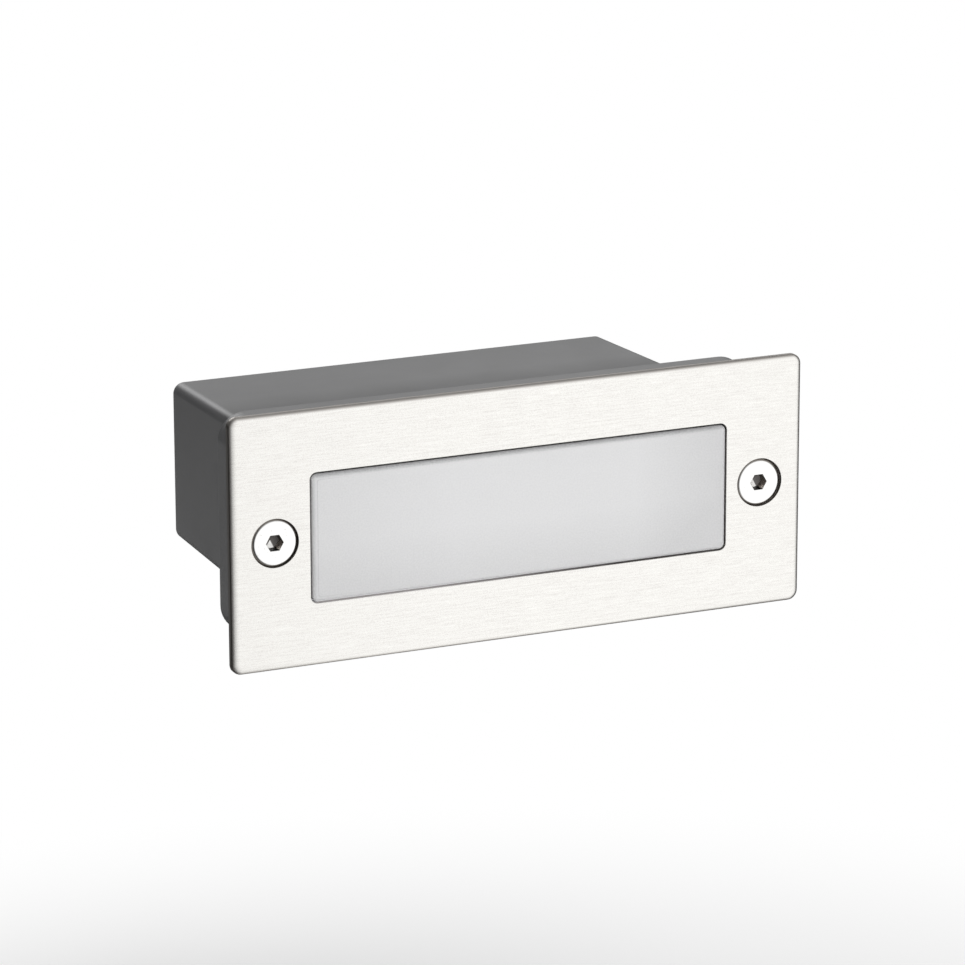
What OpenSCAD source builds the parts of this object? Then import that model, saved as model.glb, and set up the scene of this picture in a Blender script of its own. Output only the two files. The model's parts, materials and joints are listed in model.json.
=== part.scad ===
// Recessed step light: a brushed steel faceplate over a moulded recess box, with a lamp unit
// that draws out to the front. X runs along the faceplate, Y runs into the wall, and Z is up.
// The wall's surface is the plane y = 0, and the faceplate is centred over the origin.

/* [Faceplate] */
// Width of the faceplate
plate_w = 120; // [110:1:150]
// Height of the faceplate
plate_h = 50; // [47:1:64]
// Thickness of the faceplate
plate_t = 1.5; // [1.2:0.1:2.4]
// Corner radius of the faceplate's outline
plate_corner = 2; // [1.5:0.1:4]
// Radius of the faceplate's rolled front edge
plate_edge = 0.6; // [0.3:0.1:1]
// Corner radius of the window
window_corner = 1.4; // [1.2:0.1:4]
// How far the faceplate reaches past the collar at each end
side_overlap = 4.22; // [3.5:0.01:6]
// How far the faceplate reaches past the collar above and below
top_overlap = 3.33; // [2.8:0.01:5]
// Thickness of the gaskets behind the faceplate
gasket_t = 0.8; // [0.5:0.1:1.5]

/* [Diffuser] */
// Gap between the diffuser and the window's edge
lens_clear = 0.3; // [0.2:0.05:0.5]
// How far the diffuser stands proud of the faceplate
lens_proud = 0.4; // [0:0.1:1]
// Radius of the diffuser's rounded front edge
lens_edge = 0.8; // [0.3:0.1:1.2]
// How far the diffuser's flange lies inside the collar
flange_sink = 0.2; // [0.05:0.05:0.5]
// Thickness of the diffuser's flange
flange_t = 2; // [1.5:0.1:3]
// Width of the flange past the diffuser's face at each end
side_lap = 2.3; // [1.6:0.1:3.2]
// Width of the flange past the diffuser's face above and below
top_lap = 6.6; // [4.5:0.1:8]
// Thickness of the diffuser's seal
seal_t = 1.5; // [1:0.1:2.5]

/* [Recess box] */
// Corner radius of the collar
collar_corner = 5; // [3:0.5:6]
// Wall thickness of the collar
collar_wall = 2.2; // [1.6:0.1:2.8]
// Wall left around each screw boss
boss_wall = 1.22; // [1:0.01:1.8]
// Thickness left behind each screw boss
boss_skin = 1.62; // [1:0.01:3]
// Gap between the lamp unit's rim and the collar
rim_clear = 0.35; // [0.2:0.05:0.6]
// Ledge that carries the lamp unit's rim at each end
side_ledge = 0.39; // [0.2:0.01:1.2]
// Ledge that carries the lamp unit's rim above and below
top_ledge = 4.9; // [3:0.01:5.2]
// Wall thickness of the box
box_wall = 2.5; // [1.5:0.1:2.8]
// Radius of the box's long edges
box_corner = 1.7; // [1.5:0.1:4]
// How much the box narrows on each side towards its rear
box_taper = 1; // [0:0.1:2]

/* [Faceplate screws] */
// Radius of the screw's shank
screw_r = 2.45; // [2:0.05:2.9]
// Length of the screw over all
screw_len = 14; // [12:0.5:20]
// Radius of the countersunk head
head_r = 4.7; // [4.3:0.05:5.2]
// Width of the bevel around the head's flat
head_bevel = 0.45; // [0.2:0.05:0.7]
// Size of the hexagon socket across its flats
socket_af = 3.05; // [2.5:0.05:4]
// Depth of the hexagon socket
socket_depth = 2.2; // [1.5:0.1:3]
// Length of the screw that the insert holds
engagement = 4.9; // [3.5:0.1:6]
// Length of the threaded insert
insert_len = 5.6; // [5:0.1:8]
// Wall thickness of the threaded insert
insert_wall = 0.7; // [0.5:0.05:0.95]
// Width of the retaining washer's ring
retainer_w = 0.8; // [0.6:0.05:1.2]
// Thickness of the retaining washer
retainer_t = 1; // [0.6:0.1:1.5]

/* [Cable gland] */
// Radius of the gland's thread
gland_r = 6; // [5:0.5:8]
// Wall thickness of the gland's body
gland_wall = 1.6; // [1.2:0.1:2]
// Radius of the cable that the gland holds
cable_r = 3.1; // [2.5:0.1:3.6]
// Thickness of the gland's hexagon flange
gland_flange_t = 4; // [3:0.5:6]
// Length of the gland's rear neck
gland_neck = 7; // [6:0.5:10]
// Thickness of the lock nut
locknut_t = 3.5; // [2.5:0.5:5]
// Thickness of the gland's sealing washer
gland_washer_t = 1; // [0.5:0.1:2]

/* [Lamp tray] */
// Gap between the lamp tray and the box
tray_clear = 0.8; // [0.4:0.1:1.5]
// Wall thickness of the lamp tray
tray_wall = 1.6; // [1.2:0.1:2]
// Thickness of the lamp tray's rim
rim_t = 1.8; // [1.2:0.1:3]
// Thickness of the shelf that carries the heat spreader
shelf_t = 2; // [1.5:0.1:3]
// Thickness of the gear cover
cover_t = 2; // [1.5:0.1:3]
// Depth from the rim's front to the LED board
light_depth = 15.5; // [12:0.5:25]

/* [LED board] */
// Thickness of the LED board
led_board_t = 1.6; // [1:0.1:2]
// Number of LED packages
led_count = 12; // [6:1:14]
// Thickness of the heat spreader
spreader_t = 2; // [1:0.1:3]
// Wall thickness of the reflector
reflector_t = 1; // [0.6:0.1:1.5]
// How much each long side of the reflector closes in towards the LED board
reflector_slope = 2.15; // [1:0.05:3]

/* [Driver] */
// Thickness of the driver board
driver_board_t = 1.6; // [1:0.1:2]
// Gap above and below the driver board
driver_board_gap = 2.2; // [1:0.1:3]
// Height of the posts that carry the driver board
post_len = 2; // [1.5:0.1:4]
// Size of the transformer: width, depth and height
transformer_size = [13, 12, 13];
// Radius of the capacitors
capacitor_r = 3.8; // [3:0.1:4]
// Length of the capacitors
capacitor_len = 11; // [8:0.5:14]
// Radius of the choke
choke_r = 3; // [2:0.1:3.5]
// Length of the choke
choke_len = 8; // [6:0.5:12]
// Radius of the insulated leads
lead_r = 0.8; // [0.5:0.05:1]

/* [Terminal block] */
// Distance between the terminal block's poles
pole_pitch = 9; // [8:0.5:11]
// Length of the terminal block along the wires
terminal_len = 15; // [13:0.5:19]
// Height of the terminal block
terminal_h = 10.5; // [9.5:0.5:14]

/* [Hidden] */
$fn = 64;

// How far each cut runs past the face that it opens
overrun = 1;
// Running clearance on the radius of anything that turns or slides on a shank
running = 0.05;
// Clearance on the radius of anything pressed, glued or screwed into a hole
snug = 0.02;
// Clearance around a board, cover or reflector inside the lamp tray
fit = 0.3;
// Clearance around the cable where it only passes through
cable_clear = 0.5;

// Front planes, from the viewer towards the wall
plate_back = -gasket_t;
plate_front = plate_back - plate_t;

// Screws: the head lies just under the faceplate's front, and its cone slopes at 45 degrees
head_sink = 0.15;
bevel_depth = 0.35;
head_land = 0.15;
head_gap = 0.2;
head_y = plate_front + head_sink;
cone_y = head_y + bevel_depth + head_land;
tip_y = head_y + screw_len;
insert_y = tip_y - engagement;
insert_gap = 0.5;
boss_hole_end = insert_y + insert_len + insert_gap;
insert_r = screw_r + running + insert_wall;
insert_groove = insert_wall / 2;
insert_groove_len = insert_len / 5;
retainer_gap = 0.3;
retainer_r = screw_r + running + retainer_w;
retainer_y = insert_y - retainer_gap - retainer_t;
counterbore_r = max(retainer_r, insert_r) + retainer_gap;

// Recess box, from its outline inwards
collar_w = plate_w - 2 * side_overlap;
collar_h = plate_h - 2 * top_overlap;
collar_depth = boss_hole_end + boss_skin;
boss_r = counterbore_r + boss_wall;
screw_x = collar_w / 2 - boss_r;
pocket_w = 2 * (screw_x - boss_r);
pocket_h = collar_h - 2 * collar_wall;
pocket_corner = collar_corner - collar_wall;
lens_rear = flange_sink + flange_t;
rim_y = lens_rear + seal_t;
pocket_depth = rim_y + rim_t;
rib_t = 1.5;
box_w = pocket_w - 2 * side_ledge + 2 * box_wall;
box_h = pocket_h - 2 * top_ledge + 2 * box_wall;
box_rear_w = box_w - 2 * box_taper;
box_rear_h = box_h - 2 * box_taper;

// Diffuser and its window
flange_w = pocket_w - 2 * rim_clear;
flange_h = pocket_h - 2 * rim_clear;
flange_corner = pocket_corner - rim_clear;
lens_w = flange_w - 2 * side_lap;
lens_h = flange_h - 2 * top_lap;
lens_corner = max(window_corner - lens_clear, lens_edge);
window_w = lens_w + 2 * lens_clear;
window_h = lens_h + 2 * lens_clear;

// Wall gasket
wall_gasket_inset = 1;
wall_gasket_gap = 0.5;

// Lamp tray, from its rim to its rear
tray_w = box_rear_w - 2 * box_wall - 2 * tray_clear;
tray_h = box_rear_h - 2 * box_wall - 2 * tray_clear;
tray_corner = 2;
tray_in_w = tray_w - 2 * tray_wall;
tray_in_h = tray_h - 2 * tray_wall;
tray_in_corner = tray_corner - tray_wall;
board_y = rim_y + light_depth;
spreader_y = board_y + led_board_t;
shelf_y = spreader_y + spreader_t;
driver_headroom = 1.8;
tallest_part = max(transformer_size[1], capacitor_len, choke_len);
driver_space = driver_headroom + tallest_part + driver_board_t + post_len;
tray_rear = shelf_y + shelf_t + driver_space;
cover_rear = tray_rear + cover_t;

// Small self-tapping screws in the lamp unit
tapper_r = 1.2;
tapper_head_r = 2.3;
tapper_head_t = 1.6;
tapper_slot = 0.6;
tapper_boss_r = 2.6;
tapper_reach = 4;
tapper_floor = 1;
slot_depth = tapper_head_t / 2;

// Shelf, LED board and reflector: the LEDs fill the space between the two screw heads
shelf_land = 7.6;
board_screw_x = tray_in_w / 2 - shelf_land / 2;
led_body = [3.5, 0.8, 2.8];
led_dish_r = 1.1;
led_dish_depth = 0.2;
led_margin = 0.6;
led_end_gap = 1.4;
led_row_w = 2 * (board_screw_x - tapper_head_r - led_end_gap);
led_pitch = (led_row_w - led_body[0]) / (led_count - 1);
led_board_inset = 1.75;
reflector_mouth_gap = 0.4;
reflector_mouth_y = rim_y + reflector_mouth_gap;
reflector_w = tray_in_w - 2 * fit;
reflector_mouth_h = tray_in_h - 2 * fit;
reflector_base_h = reflector_mouth_h - 2 * reflector_slope;
led_board_h = reflector_base_h - 2 * led_board_inset;

// Driver board: from the left a screw, the LED leads, two capacitors, the transformer, the choke
// and the other screw, with equal gaps between the tall parts
cover_boss_len = 9;
cover_screw_x = tray_in_w / 2 - tapper_boss_r + snug;
board_end_gap = 2.4;
driver_board_w = tray_in_w - 2 * (2 * tapper_boss_r + board_end_gap);
driver_board_h = tray_in_h - 2 * driver_board_gap;
driver_rear = tray_rear - post_len;
driver_y = driver_rear - driver_board_t;
driver_screw_edge = tapper_head_r + fit;
driver_screw_x = driver_board_w / 2 - driver_screw_edge;
driver_screw_z = driver_board_h / 2 - driver_screw_edge;
lead_lane = 2 * (lead_r + fit);
led_lead_x = lead_lane / 2 + 2 * driver_screw_edge - driver_board_w / 2;
led_lead_hole_r = lead_r + fit;
row_start = led_lead_x + lead_lane / 2;
row_end = driver_board_w / 2 - 2 * driver_screw_edge;
row_parts = 4 * capacitor_r + transformer_size[0] + 2 * choke_r;
row_gap = (row_end - row_start - row_parts) / 3;
capacitor_xs = [row_start + capacitor_r, row_start + 3 * capacitor_r + row_gap];
transformer_x = capacitor_xs[1] + capacitor_r + row_gap + transformer_size[0] / 2;
choke_x = row_end - choke_r;
chip_size = [4, 1.2, 4];
chip_shares = [-0.28, 0.28];
core_share = 0.3;
winding_share = 0.46;
capacitor_rim = 0.5;
capacitor_groove = 0.3;
choke_flange_t = 1.2;
choke_waist = 0.8;

// Gear cover
lip_t = 1.2;
lip_depth = 1.5;
lip_end_gap = 2 * tapper_boss_r + fit;
lip_w = tray_in_w - 2 * (lip_end_gap + fit);

// Leads: wires leave the terminal block downwards and pass through a grommet in the gear cover
grommet_r = 3.4;
grommet_flange = 1;
grommet_lip_t = 0.8;
lead_step = 1.3;

// Terminal block
poles = 2;
tube_wall = 0.5;
tube_bore_r = 1.4;
tube_r = tube_bore_r + tube_wall;
tube_y = cover_rear + tube_r + tube_wall + snug;
tube_end = 0.8;
lead_y = tube_y - tube_bore_r + lead_r + snug;
terminal_base_h = 2 * (tube_r + tube_wall) + tube_wall;
terminal_w = poles * pole_pitch;
tower_r = 2.7;
terminal_screw_r = 1.3;
terminal_screw_head_r = 1.7;
terminal_screw_sink = 0.6;
terminal_screw_slot = 0.5;
terminal_screw_share = 0.24;
terminal_screw_z = terminal_len * terminal_screw_share;
terminal_fix_head_r = 1.6;
terminal_fix_r = 0.9;
terminal_fix_head_t = 1;
terminal_room = 3.2;
pole_shares = [-0.5, 0.5];
lead_sides = [1, -1];

// Cable gland, centred in the box's rear wall
wiring_space = terminal_h + terminal_room;
box_in_rear = cover_rear + wiring_space;
box_depth = box_in_rear + box_wall;
hex_factor = 1 / cos(30);
gland_af = 2 * (gland_r + gland_wall);
gland_corner_r = gland_af / 2 * hex_factor;
gland_hole_r = gland_r + 2 * running;
gland_front = box_in_rear - locknut_t - gland_washer_t;
washer_y = box_depth;
gland_flange_y = washer_y + gland_washer_t;
gland_neck_y = gland_flange_y + gland_flange_t;
gland_neck_end = gland_neck_y + gland_neck;
gland_bore_r = gland_r - gland_wall;
seal_step = 1.5;
seal_y = gland_neck_y + seal_step;
seal_len = gland_neck_end - seal_y;
ring_gap = 0.1;
ring_t = 1.6;
ring_y = gland_neck_end + ring_gap;
nut_gap = 0.5;
nut_y = gland_neck_y + nut_gap;
nut_roof = 2.4;
nut_in_end = ring_y + ring_t + ring_gap;
nut_end = nut_in_end + nut_roof;
throat_r = cable_r + cable_clear;
nut_crown_r = gland_corner_r - nut_roof / 2;
terminal_x = (gland_corner_r + cover_screw_x - tapper_head_r) / 2;

// Colours
steel = [0.90, 0.90, 0.88];
bright_steel = [0.96, 0.96, 0.96];
moulding_grey = [0.36, 0.36, 0.37];
opal = [0.86, 0.86, 0.86];
white_plastic = [0.93, 0.93, 0.92];
black_rubber = [0.10, 0.10, 0.10];
seal_grey = [0.55, 0.56, 0.57];
brass = [0.80, 0.65, 0.30];
aluminium = [0.75, 0.76, 0.77];
board_green = [0.10, 0.36, 0.20];
phosphor = [0.95, 0.85, 0.45];
ferrite = [0.25, 0.22, 0.20];
sleeve_blue = [0.16, 0.20, 0.30];
choke_brown = [0.30, 0.20, 0.12];
chip_black = [0.08, 0.08, 0.08];
lead_red = [0.60, 0.13, 0.11];

// A plate of a flat outline, from y to y + t
module slab(y, t) {
    translate([0, y + t, 0]) rotate([90, 0, 0]) linear_extrude(t) children();
}

// A bar of a side outline drawn in Y and Z, centred on x
module bar(x, w) {
    translate([x, 0, 0]) rotate([90, 0, 90]) linear_extrude(w, center = true) children();
}

// A rod along Y, from y to y + len, with its rear radius given where it tapers
module rod(x, z, y, len, r, rear_r = undef) {
    translate([x, y, z]) rotate([-90, 0, 0])
        cylinder(h = len, r1 = r, r2 = is_undef(rear_r) ? r : rear_r);
}

// A hexagon along Y with two flats above and below
module hexagon(x, z, y, len, af) {
    translate([x, y, z]) rotate([-90, 0, 0]) cylinder(h = len, r = af / 2 * hex_factor, $fn = 6);
}

module round_rect(w, h, r) {
    square([w - 2 * r, h], center = true);
    square([w, h - 2 * r], center = true);
    for (x = [-1, 1], z = [-1, 1]) translate([x * (w / 2 - r), z * (h / 2 - r)]) circle(r);
}

// A plate from y forwards by t, whose front edge is rounded all the way round
module soft_slab(w, h, t, y, corner, edge) {
    translate([0, y, 0]) rotate([90, 0, 0]) hull()
        for (i = [-1, 1], k = [-1, 1])
            translate([i * (w / 2 - corner), k * (h / 2 - corner), 0])
                rotate_extrude($fn = 32) {
                    square([corner, t - edge]);
                    square([corner - edge, t]);
                    intersection() {
                        translate([corner - edge, t - edge]) circle(edge, $fn = 24);
                        square([corner, t]);
                    }
                }
}

// A wire through points, with rounded bends and flat ends
module wire(points, r) {
    for (i = [0 : len(points) - 2]) {
        step = points[i + 1] - points[i];
        length = norm(step);
        translate(points[i])
            rotate([0, acos(step[2] / length), atan2(step[1], step[0])]) cylinder(h = length, r = r);
    }
    for (i = [1 : len(points) - 2]) translate(points[i]) sphere(r);
}

// A pan-head screw along Y whose head rests on the plane y, either driven to the rear or,
// with side = -1, to the front
module tapper(x, z, y, len, side = 1) {
    translate([x, y, z]) rotate([side > 0 ? -90 : 90, 0, 0]) difference() {
        union() {
            cylinder(h = len, r = tapper_r);
            translate([0, 0, -tapper_head_t]) cylinder(h = tapper_head_t, r = tapper_head_r);
        }
        for (turn = [0, 90])
            rotate([0, 0, turn]) translate([0, 0, -tapper_head_t])
                cube([tapper_head_r, tapper_slot, 2 * slot_depth], center = true);
    }
}

module recess_box() {
    color(moulding_grey) difference() {
        union() {
            slab(0, collar_depth) round_rect(collar_w, collar_h, collar_corner);
            hull() {
                slab(collar_depth - collar_wall, collar_wall)
                    round_rect(box_w, box_h, box_corner, $fn = 32);
                slab(box_in_rear, box_wall)
                    round_rect(box_rear_w, box_rear_h, box_corner, $fn = 32);
            }
        }
        slab(-overrun, pocket_depth + overrun) round_rect(pocket_w, pocket_h, pocket_corner);
        hull() {
            slab(pocket_depth - overrun, collar_depth - pocket_depth)
                square([box_w - 2 * box_wall, box_h - 2 * box_wall], center = true);
            slab(box_in_rear - box_wall, box_wall)
                square([box_rear_w - 2 * box_wall, box_rear_h - 2 * box_wall], center = true);
        }
        for (side = [-1, 1]) {
            slab(-overrun, collar_depth - collar_wall + overrun) core_out(side);
            rod(side * screw_x, 0, -overrun, insert_y + overrun, counterbore_r);
            rod(side * screw_x, 0, 0, boss_hole_end, insert_r + snug);
        }
        rod(0, 0, box_in_rear - overrun, box_wall + 2 * overrun, gland_hole_r);
    }
}

// The hollow that lightens the collar above and below a screw boss
module core_out(side) {
    inner_x = pocket_w / 2 + rib_t;
    outer_x = collar_w / 2 - collar_wall;
    difference() {
        translate([side * (inner_x + outer_x) / 2, 0])
            square([outer_x - inner_x, pocket_h - 2 * rib_t], center = true);
        translate([side * screw_x, 0]) circle(boss_r);
    }
}

module threaded_inserts() {
    color(brass) for (side = [-1, 1]) difference() {
        rod(side * screw_x, 0, insert_y, insert_len, insert_r);
        rod(side * screw_x, 0, insert_y - overrun, insert_len + 2 * overrun, screw_r + running);
        difference() {
            rod(side * screw_x, 0, insert_y + (insert_len - insert_groove_len) / 2,
                insert_groove_len, insert_r + overrun);
            rod(side * screw_x, 0, insert_y, insert_len, insert_r - insert_groove);
        }
    }
}

module gland_body() {
    color(black_rubber) difference() {
        union() {
            rod(0, 0, gland_front, gland_flange_y - gland_front, gland_r);
            hexagon(0, 0, gland_flange_y, gland_flange_t, gland_af);
            rod(0, 0, gland_neck_y, gland_neck, gland_r);
        }
        rod(0, 0, gland_front - overrun, seal_y - gland_front + overrun, throat_r);
        rod(0, 0, seal_y, seal_len + overrun, gland_bore_r);
    }
}

module gland_washer() {
    color(black_rubber) difference() {
        rod(0, 0, washer_y, gland_washer_t, gland_af / 2);
        rod(0, 0, washer_y - overrun, gland_washer_t + 2 * overrun, gland_r + running);
    }
}

module gland_locknut() {
    color(black_rubber) difference() {
        hexagon(0, 0, box_in_rear - locknut_t, locknut_t, gland_af);
        rod(0, 0, box_in_rear - locknut_t - overrun, locknut_t + 2 * overrun, gland_r + running);
    }
}

module gland_seal() {
    color(seal_grey) difference() {
        rod(0, 0, seal_y, seal_len, gland_bore_r - snug);
        rod(0, 0, seal_y - overrun, seal_len + 2 * overrun, cable_r);
    }
}

module gland_clamp_ring() {
    color(white_plastic) difference() {
        rod(0, 0, ring_y, ring_t, gland_r - ring_gap, gland_bore_r);
        rod(0, 0, ring_y - overrun, ring_t + 2 * overrun, throat_r);
    }
}

module gland_nut() {
    color(black_rubber) difference() {
        union() {
            hexagon(0, 0, nut_y, nut_in_end - nut_y, gland_af);
            rod(0, 0, nut_in_end, nut_roof, gland_af / 2, nut_crown_r);
        }
        rod(0, 0, nut_y - overrun, nut_in_end - nut_y + overrun, gland_r + running);
        rod(0, 0, nut_y, nut_end - nut_y + overrun, throat_r);
    }
}

module lamp_tray() {
    color(white_plastic) difference() {
        union() {
            difference() {
                union() {
                    slab(rim_y, rim_t) round_rect(flange_w, flange_h, flange_corner);
                    slab(rim_y, tray_rear - rim_y) round_rect(tray_w, tray_h, tray_corner);
                }
                slab(rim_y - overrun, shelf_y - rim_y + overrun)
                    round_rect(tray_in_w, tray_in_h, tray_in_corner);
                slab(shelf_y - overrun, shelf_t + 2 * overrun)
                    square([tray_in_w - 2 * shelf_land, reflector_base_h], center = true);
                slab(shelf_y + shelf_t, driver_space + overrun)
                    round_rect(tray_in_w, tray_in_h, tray_in_corner);
            }
            for (side = [-1, 1]) {
                rod(side * board_screw_x, 0, shelf_y + shelf_t, tapper_reach, tapper_boss_r);
                rod(side * cover_screw_x, 0, tray_rear - cover_boss_len, cover_boss_len,
                    tapper_boss_r);
            }
        }
        for (side = [-1, 1]) {
            rod(side * board_screw_x, 0, shelf_y - overrun, shelf_t + tapper_reach + 2 * overrun,
                tapper_r + snug);
            rod(side * cover_screw_x, 0, tray_rear - cover_boss_len + tapper_floor, cover_boss_len,
                tapper_r + snug);
        }
    }
}

module diffuser_seal() {
    color(seal_grey) difference() {
        slab(lens_rear, seal_t) round_rect(flange_w - 2 * fit, flange_h - 2 * fit, flange_corner);
        slab(lens_rear - overrun, seal_t + 2 * overrun)
            round_rect(tray_in_w, tray_in_h, tray_in_corner);
    }
}

module reflector() {
    color(white_plastic) difference() {
        bar(0, reflector_w) polygon([
            [reflector_mouth_y, -reflector_mouth_h / 2], [reflector_mouth_y, reflector_mouth_h / 2],
            [board_y, reflector_base_h / 2], [board_y, -reflector_base_h / 2],
        ]);
        bar(0, reflector_w - 2 * reflector_t) polygon([
            [reflector_mouth_y - overrun, -reflector_mouth_h / 2 + reflector_t],
            [reflector_mouth_y - overrun, reflector_mouth_h / 2 - reflector_t],
            [reflector_mouth_y, reflector_mouth_h / 2 - reflector_t],
            [board_y - reflector_t, reflector_base_h / 2 - reflector_t],
            [board_y - reflector_t, -reflector_base_h / 2 + reflector_t],
            [reflector_mouth_y, -reflector_mouth_h / 2 + reflector_t],
        ]);
        slab(board_y - reflector_t - overrun, reflector_t + 2 * overrun)
            square([led_row_w + 2 * led_margin, led_body[2] + 2 * led_margin], center = true);
        board_holes(board_y - reflector_t, reflector_t);
    }
}

// The holes of the LED board's screws through a plate from y to y + t
module board_holes(y, t) {
    for (side = [-1, 1])
        rod(side * board_screw_x, 0, y - overrun, t + 2 * overrun, tapper_r + snug);
}

module led_board() {
    color(white_plastic) difference() {
        slab(board_y, led_board_t) square([reflector_w, led_board_h], center = true);
        board_holes(board_y, led_board_t);
    }
}

module led_packages() {
    color(phosphor) for (i = [0 : led_count - 1])
        translate([(i - (led_count - 1) / 2) * led_pitch, board_y - led_body[1] / 2, 0]) difference() {
            cube(led_body, center = true);
            rod(0, 0, -led_body[1] / 2 - overrun, led_dish_depth + overrun, led_dish_r);
        }
}

module heat_spreader() {
    color(aluminium) difference() {
        slab(spreader_y, spreader_t) square([reflector_w, reflector_mouth_h], center = true);
        board_holes(spreader_y, spreader_t);
        for (k = [-1, 1])
            rod(led_lead_x, k * lead_step, spreader_y - overrun, spreader_t + 2 * overrun,
                led_lead_hole_r);
    }
}

module led_board_screws() {
    screw_y = board_y - reflector_t;
    color(bright_steel) for (side = [-1, 1])
        tapper(side * board_screw_x, 0, screw_y, shelf_y + shelf_t + tapper_reach - screw_y);
}

module driver_board() {
    color(board_green) difference() {
        slab(driver_y, driver_board_t) square([driver_board_w, driver_board_h], center = true);
        for (side = [-1, 1])
            rod(side * driver_screw_x, side * driver_screw_z, driver_y - overrun,
                driver_board_t + 2 * overrun, tapper_r + snug);
    }
}

// A wound bobbin between the two halves of a square ferrite core
module driver_transformer() {
    size = transformer_size;
    core_t = size[0] * core_share / 2;
    color(ferrite)
        translate([transformer_x, driver_y - size[1] / 2, 0]) {
            difference() {
                cube(size, center = true);
                cube([size[0] - 2 * core_t, size[1] - 2 * core_t, size[2] + overrun], center = true);
            }
            cube([size[0] - core_t, size[1] * core_share, size[2] * core_share], center = true);
            rotate([0, 90, 0])
                cylinder(h = size[0] - 2 * core_t, r = size[1] * winding_share - core_t / 2,
                    center = true);
        }
}

module driver_capacitors() {
    color(sleeve_blue) for (x = capacitor_xs) difference() {
        rod(x, 0, driver_y - capacitor_len, capacitor_len, capacitor_r);
        difference() {
            rod(x, 0, driver_y - 2 * capacitor_rim - capacitor_groove, 2 * capacitor_groove,
                capacitor_r + overrun);
            rod(x, 0, driver_y - capacitor_len, capacitor_len, capacitor_r - capacitor_groove);
        }
    }
}

module driver_choke() {
    color(choke_brown) {
        rod(choke_x, 0, driver_y - choke_len, choke_flange_t, choke_r);
        rod(choke_x, 0, driver_y - choke_len, choke_len, choke_r - choke_waist);
        rod(choke_x, 0, driver_y - choke_flange_t, choke_flange_t, choke_r);
    }
}

// The chips sit on the rear of the board, beside the supply leads
module driver_chips() {
    color(chip_black) for (share = chip_shares)
        translate([driver_board_w * share, driver_rear + chip_size[1] / 2, 0])
            cube(chip_size, center = true);
}

module driver_board_screws() {
    color(bright_steel) for (side = [-1, 1])
        tapper(side * driver_screw_x, side * driver_screw_z, driver_y,
            driver_board_t + post_len + cover_t / 2);
}

module gear_cover() {
    color(white_plastic) difference() {
        union() {
            slab(tray_rear, cover_t) round_rect(tray_w, tray_h, tray_corner);
            for (k = [-1, 1])
                translate([0, tray_rear - lip_depth / 2, k * (tray_in_h / 2 - fit - lip_t / 2)])
                    cube([lip_w, lip_depth, lip_t], center = true);
            for (side = [-1, 1])
                rod(side * driver_screw_x, side * driver_screw_z, driver_rear, post_len,
                    tapper_boss_r);
        }
        for (side = [-1, 1]) {
            rod(side * driver_screw_x, side * driver_screw_z, driver_rear - overrun,
                post_len + cover_t / 2 + overrun, tapper_r + snug);
            rod(side * cover_screw_x, 0, tray_rear - overrun, cover_t + 2 * overrun, tapper_r + snug);
        }
        rod(0, 0, tray_rear - overrun, cover_t + 2 * overrun, grommet_r);
        rod(terminal_x, 0, tray_rear - overrun, cover_t + 2 * overrun, terminal_fix_r + snug);
    }
}

module gear_cover_screws() {
    color(bright_steel) for (side = [-1, 1])
        tapper(side * cover_screw_x, 0, cover_rear, cover_t + cover_boss_len - 2 * tapper_floor, -1);
}

module lead_grommet() {
    color(black_rubber) difference() {
        union() {
            rod(0, 0, tray_rear - grommet_lip_t, cover_t + 2 * grommet_lip_t, grommet_r - snug);
            for (y = [tray_rear - grommet_lip_t, cover_rear])
                rod(0, 0, y, grommet_lip_t, grommet_r + grommet_flange);
        }
        for (side = [-1, 1])
            rod(side * lead_step, 0, tray_rear - grommet_lip_t - overrun,
                cover_t + 2 * grommet_lip_t + 2 * overrun, lead_r + snug);
    }
}

// Each lead drops out of its pole, runs along under the terminal block and rises to the grommet,
// the outer pole's lead behind the inner pole's
module supply_leads() {
    low_z = -terminal_len / 2 - lead_r - fit;
    color(lead_red) for (i = [0, 1]) {
        pole_x = terminal_x + pole_shares[i] * pole_pitch;
        entry_x = lead_sides[i] * lead_step;
        run_y = lead_y + i * (2 * lead_r + fit);
        drop = [[pole_x, lead_y, terminal_screw_r - terminal_screw_z], [pole_x, lead_y, low_z]];
        step = i == 0 ? [] : [[pole_x, run_y, low_z]];
        rise = [[entry_x, run_y, low_z], [entry_x, run_y, 0], [entry_x, driver_rear, 0]];
        wire(concat(drop, step, rise), lead_r);
    }
}

module led_leads() {
    color(lead_red) for (k = [-1, 1])
        rod(led_lead_x, k * lead_step, spreader_y, driver_y - spreader_y, lead_r);
}

module terminal_block() {
    color(white_plastic) difference() {
        union() {
            translate([terminal_x, cover_rear + terminal_base_h / 2, 0])
                cube([terminal_w, terminal_base_h, terminal_len], center = true);
            for (share = pole_shares, k = [-1, 1])
                rod(terminal_x + share * pole_pitch, k * terminal_screw_z, cover_rear,
                    terminal_h, tower_r);
        }
        for (share = pole_shares) {
            translate([terminal_x + share * pole_pitch, tube_y, 0])
                cylinder(h = terminal_len + 2 * overrun, r = tube_r + snug, center = true);
            for (k = [-1, 1])
                rod(terminal_x + share * pole_pitch, k * terminal_screw_z, tube_y, terminal_h,
                    terminal_screw_head_r + running);
        }
        rod(terminal_x, 0, cover_rear - overrun, terminal_base_h + 2 * overrun, terminal_fix_r + snug);
    }
}

module terminal_tubes() {
    tube_len = terminal_len - 2 * tube_end;
    color(brass) for (share = pole_shares) translate([terminal_x + share * pole_pitch, tube_y, 0])
        difference() {
            cylinder(h = tube_len, r = tube_r, center = true);
            cylinder(h = tube_len + overrun, r = tube_bore_r, center = true);
            for (k = [-1, 1])
                rod(0, k * terminal_screw_z, 0, tube_r + overrun, terminal_screw_r + running);
        }
}

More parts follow.
